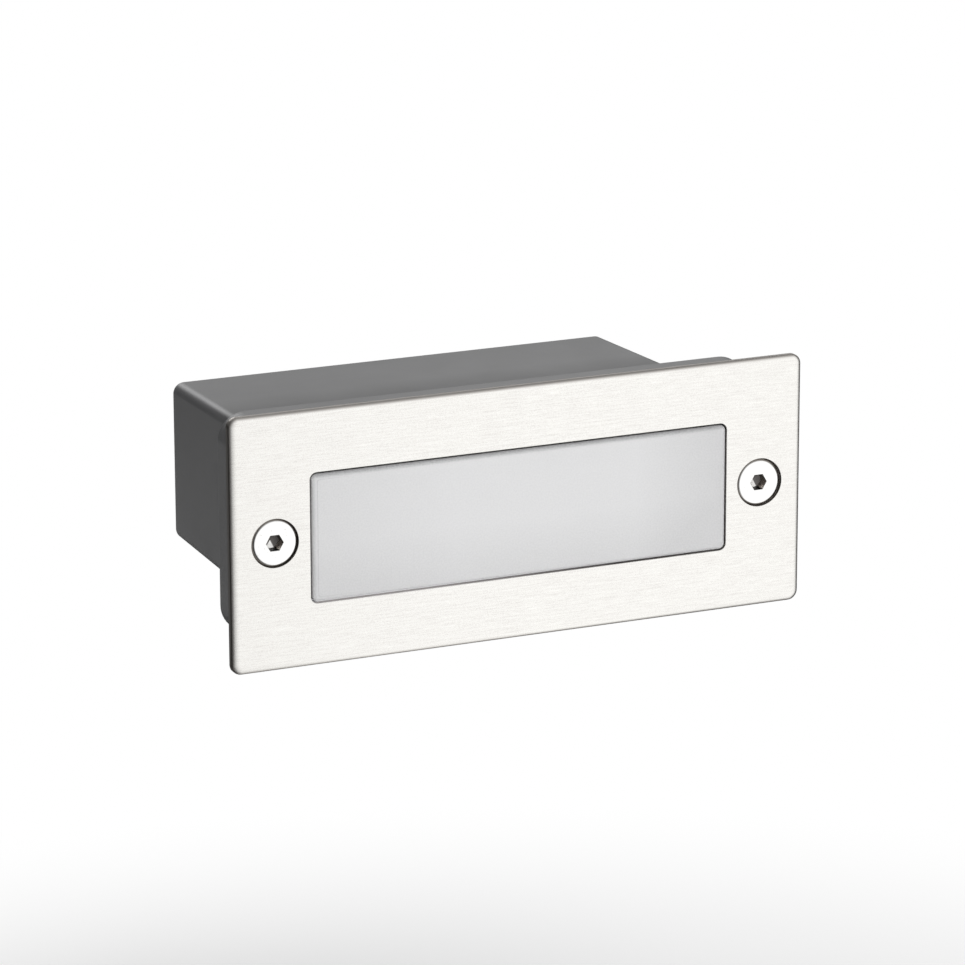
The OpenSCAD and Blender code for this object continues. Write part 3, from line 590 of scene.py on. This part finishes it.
def opal_satin():
    """Opal moulding, with light and shade painted into its colour: full white in the middle of the
    face, greyed by painted shade towards its sides and its foot. It has a faint crease of painted
    shade inside the left edge, a rounded edge and walls greyed by painted shade, a painted shadow
    as a darker brow at the top, and a painted glow on its lower wall."""
    finish = Finish("opal satin")
    tree = finish.tree
    marks = finish.place(grain, Pits_per_Metre=1400.0, Mottles_per_Metre=3000.0)
    x, y, z = separate(tree, finish.point)
    half_w, half_h = LENS_W / 2, LENS_H / 2
    edge = maths(tree, "SMOOTH_MIN",
                 maths(tree, "SUBTRACT", half_w * MM, maths(tree, "ABSOLUTE", x)),
                 maths(tree, "SUBTRACT", half_h * MM, maths(tree, "ABSOLUTE", z)),
                 OPAL_ROUNDING * MM)
    # Painted shade: the face greys towards its sides and foot, most on the right and at the foot, a
    # little at the top
    sides = maths(tree, "ADD", finish.mask(x, 24.0, 43.5), finish.mask(x, -43.5, -14.0, 0.6, 0.0))
    ends = maths(tree, "ADD", finish.mask(z, -12.5, -1.0, 0.75, 0.0),
                 finish.mask(z, 7.0, 12.5, 0.0, 0.12))
    face = finish.blend(maths(tree, "ADD", sides, ends), OPAL_FACE, OPAL_SIDE_SHADE)
    # Painted shade of a crease: a faint dark band about a millimetre inside the edge, strongest on
    # the left
    off_line = maths(tree, "ABSOLUTE", maths(tree, "SUBTRACT", edge, OPAL_LINE_INSET * MM))
    crease_shade = maths(tree, "MULTIPLY", finish.mask(off_line, 0.02, 0.14, 1.0, 0.0),
                 finish.mask(x, -41.0, -34.0, 0.5, 0.04))
    crease_shaded = finish.blend(crease_shade, face, OPAL_CREASE_SHADE)
    # Painted shade: the rounded edge and the walls beyond it are grey
    rounded = finish.blend(finish.mask(edge, -0.4, 0.7), OPAL_EDGE_SHADE, crease_shaded)
    # Painted shadow: a darker brow along the top of the face
    brow = maths(tree, "MULTIPLY", finish.mask(z, half_h - 0.9, half_h - 0.2), 0.85)
    solid = finish.blend(brow, rounded, OPAL_BROW_SHADOW)
    # Painted glow: emission lights the lower wall, more on the left, though the opal is no lamp
    beneath = maths(tree, "MULTIPLY", finish.mask(z, -half_h - 0.1, -half_h + 0.4, 1.0, 0.0),
                    maths(tree, "LESS_THAN", y, (FLANGE_FRONT - 0.05) * MM))
    through = maths(tree, "MULTIPLY", beneath, finish.mask(x, -20.0, 20.0, 0.45, 0.05))
    finish.bump(marks["Pits"], 2e-6)
    finish.set(Base_Color=finish.blend(finish.ramp(marks["Mottle"], 0.0, 0.2), solid, OPAL_FLECK),
               Roughness=finish.ramp(marks["Mottle"], 0.36, 0.46), Specular_IOR_Level=0.35,
               Emission_Color=finish.blend(through, UNLIT, OPAL_PAINTED_GLOW), Emission_Strength=1.0)
    return finish.material


finishes = {
    "brushed_plate": brushed_plate(),
    "polished_screw": polished_screw(),
    "opal": opal_satin(),
    "moulded_box": charcoal_box(),
    "gland_plastic": moulded("black nylon", (0.03, 0.03, 0.031), (0.3, 0.42), 2500.0, 8e-6),
    "rubber_black": moulded("black rubber", (0.028, 0.028, 0.028), (0.6, 0.75), 1500.0, 3e-5),
    "seal_rubber": moulded("grey silicone", (0.34, 0.35, 0.36), (0.45, 0.6), 1800.0, 1e-5),
    "white_plastic": moulded("white moulding", (0.8, 0.8, 0.78), (0.35, 0.45), 2500.0, 5e-6, 0.015),
    "white_gloss": moulded("reflector white", (0.88, 0.88, 0.87), (0.12, 0.2), 900.0, 1e-6, 0.01),
    "board_white": moulded("white solder mask", (0.84, 0.84, 0.82), (0.25, 0.35), 4000.0, 2e-6,
                           0.015),
    "phosphor": moulded("phosphor gel", (0.9, 0.72, 0.22), (0.12, 0.2), 6000.0, 4e-6, 0.05),
    "aluminium": brushed_metal("rolled aluminium", (0.8, 0.81, 0.82), (0.28, 0.4),
                               (60.0, 4000.0, 4000.0), (12.0, 900.0, 900.0), 8e-7),
    "screw_steel": brushed_metal("zinc plate", (0.66, 0.67, 0.68), (0.28, 0.42),
                                 (2500.0, 2500.0, 2500.0), (700.0, 700.0, 700.0), 6e-7),
    "brass": brushed_metal("turned brass", (0.78, 0.57, 0.27), (0.22, 0.36),
                           (900.0, 4000.0, 900.0), (300.0, 900.0, 300.0), 8e-7),
    "board_green": moulded("green solder mask", (0.035, 0.19, 0.075), (0.22, 0.34), 4000.0, 3e-6),
    "ferrite": moulded("ferrite", (0.06, 0.055, 0.05), (0.5, 0.65), 3500.0, 1.2e-5),
    "sleeve_blue": moulded("shrunk sleeve", (0.03, 0.05, 0.13), (0.2, 0.3), 1500.0, 4e-6),
    "choke_wire": brushed_metal("enamelled copper", (0.55, 0.27, 0.12), (0.2, 0.3),
                                (60.0, 3500.0, 60.0), (40.0, 900.0, 40.0), 3e-6),
    "chip_black": moulded("chip moulding", (0.02, 0.02, 0.021), (0.4, 0.5), 6000.0, 6e-6),
    "lead_red": moulded("red sleeving", (0.42, 0.03, 0.02), (0.3, 0.38), 1500.0, 3e-6),
    "terminal_plastic": moulded("natural nylon", (0.76, 0.76, 0.7), (0.3, 0.4), 2500.0, 6e-6, 0.02),
}


# Faceplate

def make_faceplate():
    """Plate whose outline is carried along a rolled front edge, pierced by a window with a broken
    edge and two countersunk holes, each swept the same way."""
    outer = swept_outline(
        [(0.2, PLATE_BACK), *quarter((0.06, PLATE_BACK), (0.0, PLATE_BACK - 0.06), 3, True),
         *quarter((0.0, PLATE_FRONT + PLATE_ROLL), (PLATE_CAMBER, PLATE_FRONT), 10),
         (PLATE_CAMBER + 0.1, PLATE_FRONT)],
        PLATE_W, PLATE_H, PLATE_CORNER)
    window = swept_outline(
        [(-0.2, PLATE_FRONT), *quarter((-0.12, PLATE_FRONT), (0.0, PLATE_FRONT + 0.12), 5, True),
         (0.0, PLATE_BACK - 0.1), (-0.1, PLATE_BACK), (-0.2, PLATE_BACK)],
        WINDOW_W, WINDOW_H, WINDOW_CORNER)
    back_r = HOLE_R - (PLATE_BACK - CONE_START)
    sink = [(HOLE_R + 0.06, PLATE_FRONT), (HOLE_R + 0.03, PLATE_FRONT),
            (HOLE_R, PLATE_FRONT + 0.04), (HOLE_R, CONE_START), (back_r, PLATE_BACK - 0.02),
            (back_r + 0.1, PLATE_BACK)]
    wide = [(r + RIGHT_HOLE_WIDER, y) for r, y in sink]
    left, right = turned_loops(sink, -SCREW_X), turned_loops(wide, SCREW_X + RIGHT_HOLE_SHIFT)
    front = cover([outer[-1], window[0], left[0], right[0]])
    back = cover([outer[0], window[-1], left[-1], right[-1]])
    make_piece("plate_brushed", [band(outer), band(window), band(left), band(right), front, back],
               "faceplate", "brushed_plate", ["faceplate"])


# Diffuser

def make_diffuser():
    """Opal moulding: a flange, then a raised face whose outline is carried round a soft front edge,
    over a hollow back."""
    flange = swept_outline(
        [(1.0, FLANGE_BACK), (0.3, FLANGE_BACK), (0.0, FLANGE_BACK - 0.3),
         (0.0, FLANGE_FRONT + 0.3), (0.3, FLANGE_FRONT), (0.5, FLANGE_FRONT)],
        FLANGE_W, FLANGE_H, FLANGE_CORNER)
    face = swept_outline(
        [(-0.5, FLANGE_FRONT), (-0.4, FLANGE_FRONT), (0.0, FLANGE_FRONT - 0.3),
         *quarter((0.0, LENS_FRONT + LENS_ROLL), (LENS_ROLL, LENS_FRONT), 10),
         (LENS_ROLL + 0.1, LENS_FRONT)],
        LENS_W, LENS_H, LENS_CORNER)
    hollow_end = LENS_FRONT + LENS_THICK
    hollow = swept_outline(
        [(-0.3, FLANGE_BACK), (0.0, FLANGE_BACK - 0.3), (0.4, hollow_end + 0.4),
         (0.8, hollow_end), (0.9, hollow_end)],
        LENS_W - 2 * LENS_WALL, LENS_H - 2 * LENS_WALL, HOLLOW_CORNER)
    make_piece("diffuser_opal", [band(flange), cover([flange[-1], face[0]]), band(face),
                                 cover([face[-1]]), cover([flange[0], hollow[0]]), band(hollow),
                                 cover([hollow[-1]])],
               "diffuser", "opal", ["diffuser"])


# Faceplate screws

def make_screw(name, side, body, node):
    """Countersunk screw: a lathe profile for the head, a helical thread on the shank, and a hexagon
    socket that ends in a drilled cone."""
    x = side * SCREW_X
    bevel_end = HEAD_FRONT + 0.35
    cone_end = CONE_START + HEAD_R - SHANK_R
    thread_end = SCREW_TIP - TIP_CHAMFER
    flat = SOCKET_AF / 2
    floor_y = HEAD_FRONT + SOCKET_DEPTH
    socket = hexagon_loops([
        (flat + 0.08, UNCUT, HEAD_FRONT), (flat + 0.04, UNCUT, HEAD_FRONT),
        (flat, UNCUT, HEAD_FRONT + 0.04), (flat, UNCUT, floor_y - 0.05),
        (flat - 0.04, UNCUT, floor_y), (flat - 0.05, flat - 0.05, floor_y),
        (flat - 0.1, flat - 0.1, floor_y + 0.02),
        (flat * 0.05, flat * 0.05, floor_y + flat * 0.2)], x)
    head = turned_loops([
        (HEAD_FLAT_R - 0.1, HEAD_FRONT), (HEAD_FLAT_R, HEAD_FRONT),
        (HEAD_FLAT_R + 0.08, HEAD_FRONT + 0.03), (HEAD_R - 0.04, bevel_end - 0.04),
        (HEAD_R, bevel_end + 0.02), (HEAD_R, CONE_START - 0.03), (HEAD_R - 0.04, CONE_START + 0.02),
        (SHANK_R + 0.1, cone_end - 0.1), (SHANK_R, cone_end + 0.05),
        (SHANK_R, cone_end + PLAIN_SHANK)], x, 96)
    thread = thread_loops(SHANK_R, THREAD_DEPTH, THREAD_PITCH, cone_end + PLAIN_SHANK,
                          thread_end, x)
    tip = turned_loops([(SHANK_R, thread_end), (SHANK_R - 0.45, SCREW_TIP),
                        (SHANK_R - 0.55, SCREW_TIP)], x, 96)
    make_piece(name, [band([socket[0], head[0]]), band(socket), closed_end(socket[-1]), band(head),
                      band(thread), band(tip), closed_end(tip[-1])],
               body, "polished_screw", [node], sharp=28.0)


# Recess box

def core_out_outline(side, up):
    """Hollow beside a screw boss: three sides of a rectangle, closed by an arc about the boss."""
    inner, outer = POCKET_W / 2 + POCKET_WALL, COLLAR_W / 2 - COLLAR_WALL
    top = POCKET_H / 2 - POCKET_WALL
    lean_in, lean_out = inner - SCREW_X, outer - SCREW_X
    start = math.atan2(math.sqrt(BOSS_R ** 2 - lean_out ** 2), lean_out)
    end = math.atan2(math.sqrt(BOSS_R ** 2 - lean_in ** 2), lean_in)
    angle = np.linspace(start, end, 14)
    arc = np.column_stack([SCREW_X + BOSS_R * np.cos(angle), BOSS_R * np.sin(angle)])
    return np.vstack([arc, [[inner, top], [outer, top]]]) * [side, up]


def make_recess_box():
    """One moulding: the collar's outline and the box's tapering outline, each carried along a
    profile with softened edges, with the pocket, bosses and core-outs let in from the front."""
    floor_y = BOX_REAR - BOX_WALL
    collar = swept_outline(
        [(0.3, 0.0), *quarter((0.2, 0.0), (0.0, 0.2), 3, True),
         *quarter((0.0, COLLAR_DEPTH - 0.5), (0.5, COLLAR_DEPTH), 6), (0.6, COLLAR_DEPTH)],
        COLLAR_W, COLLAR_H, COLLAR_CORNER)
    shell = swept_outline(
        [(-0.5, COLLAR_DEPTH), *quarter((-0.4, COLLAR_DEPTH), (0.0, COLLAR_DEPTH + 0.4), 4, True),
         *quarter((0.0, BOX_REAR - 0.3), (0.3, BOX_REAR), 4), (0.4, BOX_REAR)],
        BOX_W, BOX_H, BOX_CORNER, (COLLAR_DEPTH, BOX_REAR, TAPER))
    lining = swept_outline(
        [(-0.2, POCKET_DEPTH), (0.0, POCKET_DEPTH + 0.2), (0.0, floor_y - 0.3), (0.3, floor_y),
         (0.4, floor_y)],
        BOX_W - 2 * BOX_WALL, BOX_H - 2 * BOX_WALL, LINING_CORNER, (POCKET_DEPTH, floor_y, TAPER))
    pocket = swept_outline(
        [(-0.2, 0.0), (0.0, 0.2), (0.0, POCKET_DEPTH - 0.2), (0.2, POCKET_DEPTH),
         (0.3, POCKET_DEPTH)],
        POCKET_W, POCKET_H, POCKET_CORNER)
    gland_hole = turned_loops([(GLAND_HOLE_R + 0.3, BOX_REAR), (GLAND_HOLE_R + 0.2, BOX_REAR),
                               (GLAND_HOLE_R, BOX_REAR - 0.2), (GLAND_HOLE_R, floor_y)])
    surfaces = [band(collar), band(shell), band(lining), band(pocket), band(gland_hole),
                cover([collar[-1], shell[0]]), cover([shell[-1], gland_hole[0]]),
                cover([lining[-1], gland_hole[-1]]), cover([pocket[-1], lining[0]])]
    front_holes = [pocket[0]]
    for side in (-1, 1):
        bore = turned_loops([(COUNTERBORE_R + 0.2, 0.0), (COUNTERBORE_R, 0.2),
                             (COUNTERBORE_R, INSERT_FRONT), (INSERT_HOLE_R, INSERT_FRONT),
                             (INSERT_HOLE_R, BOSS_END)], side * SCREW_X)
        front_holes.append(bore[0])
        surfaces += [band(bore), closed_end(bore[-1])]
        for up in (-1, 1):
            outline = core_out_outline(side, up)
            walls = [lift(outline, 0.0), lift(outline, COLLAR_DEPTH - COLLAR_WALL)]
            front_holes.append(walls[0])
            surfaces += [band(walls), cover([walls[1]])]
    surfaces.append(cover([collar[0], *front_holes]))
    make_piece("box_moulding", surfaces, "recess_box", "moulded_box", ["recess_box"])


# Cable gland

def make_gland_nut():
    """Gland nut: a hexagon trimmed by a cone at its front and a dome at its rear, with a bore."""
    front, rear = nut_low[1], nut_high[1]
    corner = GLAND_FLAT / math.cos(math.pi / 6)
    dome = rear - DOME_HEIGHT
    outer = hexagon_loops([
        (GLAND_FLAT - 0.5, corner - 1.0, front), (GLAND_FLAT - 0.1, corner - 0.9, front + 0.05),
        (GLAND_FLAT, corner - 0.5, front + 0.35), (GLAND_FLAT, corner, front + 0.9),
        (GLAND_FLAT, corner, dome - 1.0), (GLAND_FLAT, corner - 0.45, dome - 0.4),
        (GLAND_FLAT, GLAND_FLAT + 0.25, dome + 0.1), (UNCUT, GLAND_FLAT - 0.05, dome + 0.6),
        (UNCUT, GLAND_FLAT - 0.5, dome + 1.3), (UNCUT, GLAND_FLAT - 1.2, dome + 1.9),
        (UNCUT, GLAND_FLAT - 2.2, rear - 0.12), (UNCUT, GLAND_FLAT - 3.0, rear)])
    inner = turned_loops([(CABLE_R + 0.3, rear), (CABLE_R, rear - 0.3), (CABLE_R, dome),
                          (GLAND_R + 0.05, dome - 0.05), (GLAND_R + 0.05, front + 0.4),
                          (GLAND_R + 0.4, front)], steps=96)
    make_piece("gland_nut_moulding", [band(outer), band([outer[-1], inner[0]]), band(inner),
                                      band([inner[-1], outer[0]])],
               "gland_nut", "gland_plastic", ["gland_nut"])


def make_gland_body():
    """Gland body: a threaded neck through the box, a chamfered hexagon flange and a threaded rear
    neck, bored for the cable and its seal."""
    front, rear = body_low[1], body_high[1]
    flange, neck = washer_high[1], washer_high[1] + GLAND_FLANGE
    corner = GLAND_FLAT / math.cos(math.pi / 6)
    front_thread = thread_loops(GLAND_R, GLAND_THREAD, GLAND_PITCH, front + 0.4, flange - 0.9,
                                per_turn=10)
    rear_thread = thread_loops(GLAND_R, GLAND_THREAD, GLAND_PITCH, neck + 0.4, rear - 0.3,
                               per_turn=10)
    outer = [
        *turned_loops([(GLAND_R - 0.7, front), (GLAND_R - 0.5, front)], steps=96), *front_thread,
        *turned_loops([(GLAND_R, flange - 0.85)], steps=96),
        *hexagon_loops([(UNCUT, GLAND_R, flange), (GLAND_FLAT - 0.4, corner - 1.0, flange),
                        (GLAND_FLAT, corner - 0.6, flange + 0.3),
                        (GLAND_FLAT, corner, flange + 0.8), (GLAND_FLAT, corner, neck - 0.8),
                        (GLAND_FLAT, corner - 0.6, neck - 0.3),
                        (GLAND_FLAT - 0.4, corner - 1.0, neck), (UNCUT, GLAND_R, neck)]),
        *rear_thread, *turned_loops([(GLAND_R - 0.4, rear), (GLAND_R - 0.6, rear)], steps=96)]
    inner = turned_loops([(SEAL_R + 0.3, rear), (SEAL_R, rear - 0.3), (SEAL_R, seal_low[1]),
                          (CABLE_R, seal_low[1]), (CABLE_R, front + 0.3), (CABLE_R + 0.3, front)],
                         steps=96)
    make_piece("gland_body_moulding", [band(outer), band([outer[-1], inner[0]]), band(inner),
                                       band([inner[-1], outer[0]])],
               "recess_box", "gland_plastic", ["gland_body"])


# Light source

def make_led_gels():
    """Row of phosphor gels, each a low dome of (radius, y) loops poured into a package's dish."""
    front = leds_low[1]
    profile = [(GEL_R, front + 0.18), (GEL_R, front + 0.02), (0.98, front - 0.05),
               (0.68, front - 0.12), (0.35, front - 0.16), (0.05, front - 0.17)]
    surfaces = []
    for x in np.linspace(leds_low[0] + LED_W / 2, leds_high[0] - LED_W / 2, LED_COUNT):
        dome = turned_loops(profile, x, 24)
        surfaces += [closed_end(dome[0]), band(dome), closed_end(dome[-1])]
    make_piece("led_gels", surfaces, "lamp_unit", "phosphor")


make_faceplate()
make_diffuser()
make_screw("screw_left_polished", -1, "left_screw", "left_screw")
make_screw("screw_right_polished", 1, "right_screw", "right_screw")
make_recess_box()
make_gland_nut()
make_gland_body()
make_led_gels()

slots = {part["node"]: part["material_slot"] for part in frame["record"]["subparts"]}
for node, thing in frame["nodes"].items():
    thing.data.materials.clear()
    thing.data.materials.append(finishes[slots[node]])
frame["nodes"]["led_packages"].data.materials[0] = finishes["white_plastic"]


# Floor, world and lamps

FLOOR_Z, FLOOR_R, FLOOR_FADE = -0.17, 6.0, (0.15, 0.32)
TENT_R, TENT_STEPS = 0.5, 96
TENT_DIM, TENT_FRONT, TENT_TOP = 0.05, 1.02, 0.3
# Bright strips of the tent: azimuth, elevation, half width and half height in degrees, and glow
TENT_STRIPS = [(186, 25, 12, 6, 4.4), (150, 18, 32, 9, 1.22), (208, -17, 30, 8, 0.35),
               (-118, -16, 12, 40, 0.2)]


def bare_material(name):
    """Material without a shader: the material, its tree and the socket for its surface."""
    material = bpy.data.materials.new(name)
    material.use_nodes = True
    tree = material.node_tree
    tree.nodes.remove(tree.nodes["Principled BSDF"])
    return material, tree, tree.nodes["Material Output"].inputs["Surface"]


def seen_or_mirrored(tree):
    """1 for camera, mirrored and transmitted rays, and 0 for the rays that only light things."""
    path = tree.nodes.new("ShaderNodeLightPath")
    camera, mirrored, bent = (path.outputs[f"Is {kind} Ray"]
                              for kind in ("Camera", "Glossy", "Transmission"))
    return maths(tree, "MAXIMUM", camera, maths(tree, "MAXIMUM", mirrored, bent))


def mixed_shader(tree, share, one, other):
    """Mixes the shaders of two nodes by a share."""
    node = tree.nodes.new("ShaderNodeMixShader")
    for socket, value in zip(node.inputs, (share, one.outputs[0], other.outputs[0])):
        tree.links.new(value, socket)
    return node


def floor_material():
    """Matt white whose lit middle fades outwards into plain white, and which can be seen through
    from below."""
    material, tree, surface = bare_material("studio white")
    matt = tree.nodes.new("ShaderNodeBsdfDiffuse")
    matt.inputs["Color"].default_value = (0.9, 0.9, 0.9, 1.0)
    glow = tree.nodes.new("ShaderNodeEmission")
    glow.inputs["Strength"].default_value = 1.0
    clear = tree.nodes.new("ShaderNodeBsdfTransparent")
    geometry = tree.nodes.new("ShaderNodeNewGeometry")
    x, y, _ = separate(tree, geometry.outputs["Position"])
    fade = tree.nodes.new("ShaderNodeMapRange")
    fade.interpolation_type = "SMOOTHSTEP"
    fade.inputs["From Min"].default_value = FLOOR_FADE[0]
    fade.inputs["From Max"].default_value = FLOOR_FADE[1]
    tree.links.new(distance(tree, x, y), fade.inputs["Value"])
    far = maths(tree, "MULTIPLY", fade.outputs["Result"], seen_or_mirrored(tree))
    lit = mixed_shader(tree, far, matt, glow)
    whole = mixed_shader(tree, geometry.outputs["Backfacing"], lit, clear)
    tree.links.new(whole.outputs[0], surface)
    return material


def studio_floor():
    """Flat disc under the object: circles of evenly growing radius, closed by a fan."""
    angle = full_turn(64)
    loops = [np.column_stack([r * np.cos(angle), r * np.sin(angle), np.full(64, FLOOR_Z)])
             for r in np.linspace(0.0, FLOOR_R, 25)[1:]]
    points, quads = band(loops)
    middle, fan = closed_end(loops[0])
    faces = [tuple(quad[::-1]) for quad in quads] + [(a, b, len(points)) for a, b, _ in fan]
    mesh = bpy.data.meshes.new("studio_floor")
    mesh.from_pydata(np.vstack([points, middle[-1:]]).tolist(), [], faces)
    floor = bpy.data.objects.new("studio_floor", mesh)
    bpy.context.scene.collection.objects.link(floor)
    floor.data.materials.append(floor_material())


def studio_world(ambient):
    """White where it is seen or mirrored, and dimmer where it only lights the object."""
    world = bpy.data.worlds.new("studio")
    bpy.context.scene.world = world
    world.use_nodes = True
    tree = world.node_tree
    background = tree.nodes["Background"]
    background.inputs["Color"].default_value = (1.0, 1.0, 1.0, 1.0)
    strength = maths(tree, "MAXIMUM", seen_or_mirrored(tree), ambient)
    tree.links.new(strength, background.inputs["Strength"])


def soft_lamp(name, place, aim, size, irradiance):
    """Square area lamp that gives the wanted irradiance, as a share of pi, where it is aimed."""
    lamp = bpy.data.lights.new(name, "AREA")
    lamp.shape = "RECTANGLE"
    lamp.size = lamp.size_y = size
    way = Vector(aim) - Vector(place)
    lamp.energy = irradiance * math.pi ** 2 * way.length_squared
    thing = bpy.data.objects.new(name, lamp)
    bpy.context.scene.collection.objects.link(thing)
    turn = way.to_track_quat("-Z", "Y").to_matrix().to_4x4()
    thing.matrix_world = Matrix.Translation(place) @ turn
    thing.visible_glossy = False


def tent_glow(azimuth, elevation):
    """Glow of the studio's tent as mirrored rays meet it. The azimuth is measured in degrees from
    the front towards the right. The front is open and white, the sides and the rear are dim, and
    soft strips, each a Gaussian in both angles, are added to them."""
    turn = (azimuth + 180) % 360 - 180
    front = np.clip((turn + 48) / 68, 0, 1) * np.clip((78 - turn) / 24, 0, 1)
    front = front * front * (3 - 2 * front)
    front = front * (1 - 0.75 * np.clip((elevation - 24) / 30, 0, 1))
    glow = TENT_DIM + TENT_FRONT * front
    for centre_az, centre_el, wide, high, strength in TENT_STRIPS:
        off = (azimuth - centre_az + 180) % 360 - 180
        glow = glow + strength * np.exp(-(off / wide) ** 2 - ((elevation - centre_el) / high) ** 2)
    return glow + TENT_TOP * np.clip((elevation - 34) / 25, 0, 1)


def studio_tent():
    """Round wall, dome and floor that only mirrored rays meet, with the glow in a colour
    attribute. Each elevation's loop lies on a sphere, or below the wall's foot on the floor."""
    angle = full_turn(TENT_STEPS)
    on_floor, on_wall = np.linspace(-80.0, -20.0, 13), np.linspace(-18.4, 88.0, 40)
    loops, glow = [], []
    for elevation in np.concatenate([on_floor, on_wall]):
        slope = math.radians(elevation)
        if elevation < on_wall[0]:
            height = FLOOR_Z + 0.002
            flat = height / math.tan(slope)
        else:
            flat, height = TENT_R * math.cos(slope), TENT_R * math.sin(slope)
        loops.append(np.column_stack([flat * np.sin(angle), -flat * np.cos(angle),
                                      np.full(TENT_STEPS, height)]))
        glow.append(tent_glow(np.degrees(angle), elevation))
    points, quads = band(loops)
    mesh = bpy.data.meshes.new("studio_tent")
    mesh.from_pydata(points.tolist(), [], quads)
    level = np.concatenate(glow)
    colours = mesh.color_attributes.new("glow", "FLOAT_COLOR", "POINT")
    rgba = np.column_stack([level, level, level, np.ones(len(level))])
    colours.data.foreach_set("color", rgba.ravel())
    tent = bpy.data.objects.new("studio_tent", mesh)
    bpy.context.scene.collection.objects.link(tent)
    material, tree, surface = bare_material("studio tent")
    shade = tree.nodes.new("ShaderNodeEmission")
    paint = tree.nodes.new("ShaderNodeAttribute")
    paint.attribute_name = "glow"
    tree.links.new(paint.outputs["Color"], shade.inputs["Color"])
    tree.links.new(shade.outputs[0], surface)
    tent.data.materials.append(material)
    tent.visible_camera = tent.visible_diffuse = tent.visible_shadow = False
    tent.visible_transmission = tent.visible_volume_scatter = False


studio_floor()
studio_world(0.34)
soft_lamp("key_lamp", (0.05, -0.95, 1.15), (0.0, 0.02, 0.0), 0.9, 0.60)
soft_lamp("top_lamp", (0.1, 0.25, 1.3), (0.0, 0.03, 0.0), 0.9, 0.30)
soft_lamp("left_lamp", (-1.0, 0.2, 0.5), (0.0, 0.02, 0.0), 0.8, 0.06)
studio_tent()


# Camera

CAMERA_PLACE, CAMERA_LENS = (-0.38069, -0.82716, 0.25828), 184.05
CAMERA_AZIMUTH, CAMERA_ELEVATION, CAMERA_ROLL = -24.296, 15.524, -0.14


def place_camera():
    """Camera found from the edges in the photograph: its place, turn, tilt and roll."""
    azimuth, elevation, roll = (
        math.radians(a) for a in (CAMERA_AZIMUTH, CAMERA_ELEVATION, CAMERA_ROLL))
    back = Vector((math.sin(azimuth) * math.cos(elevation),
                   -math.cos(azimuth) * math.cos(elevation), math.sin(elevation)))
    right = (-back).cross(Vector((0, 0, 1))).normalized()
    up = right.cross(-back)
    across = right * math.cos(roll) + up * math.sin(roll)
    rise = -right * math.sin(roll) + up * math.cos(roll)
    turn = Matrix((across, rise, back)).transposed().to_4x4()
    camera = bpy.data.cameras.new("photo_camera")
    camera.sensor_width = 36.0
    camera.lens = CAMERA_LENS
    camera.clip_start, camera.clip_end = 0.01, 100.0
    thing = bpy.data.objects.new("photo_camera", camera)
    bpy.context.scene.collection.objects.link(thing)
    thing.matrix_world = Matrix.Translation(CAMERA_PLACE) @ turn
    bpy.context.scene.camera = thing


place_camera()
bpy.context.scene.view_settings.view_transform = "Standard"
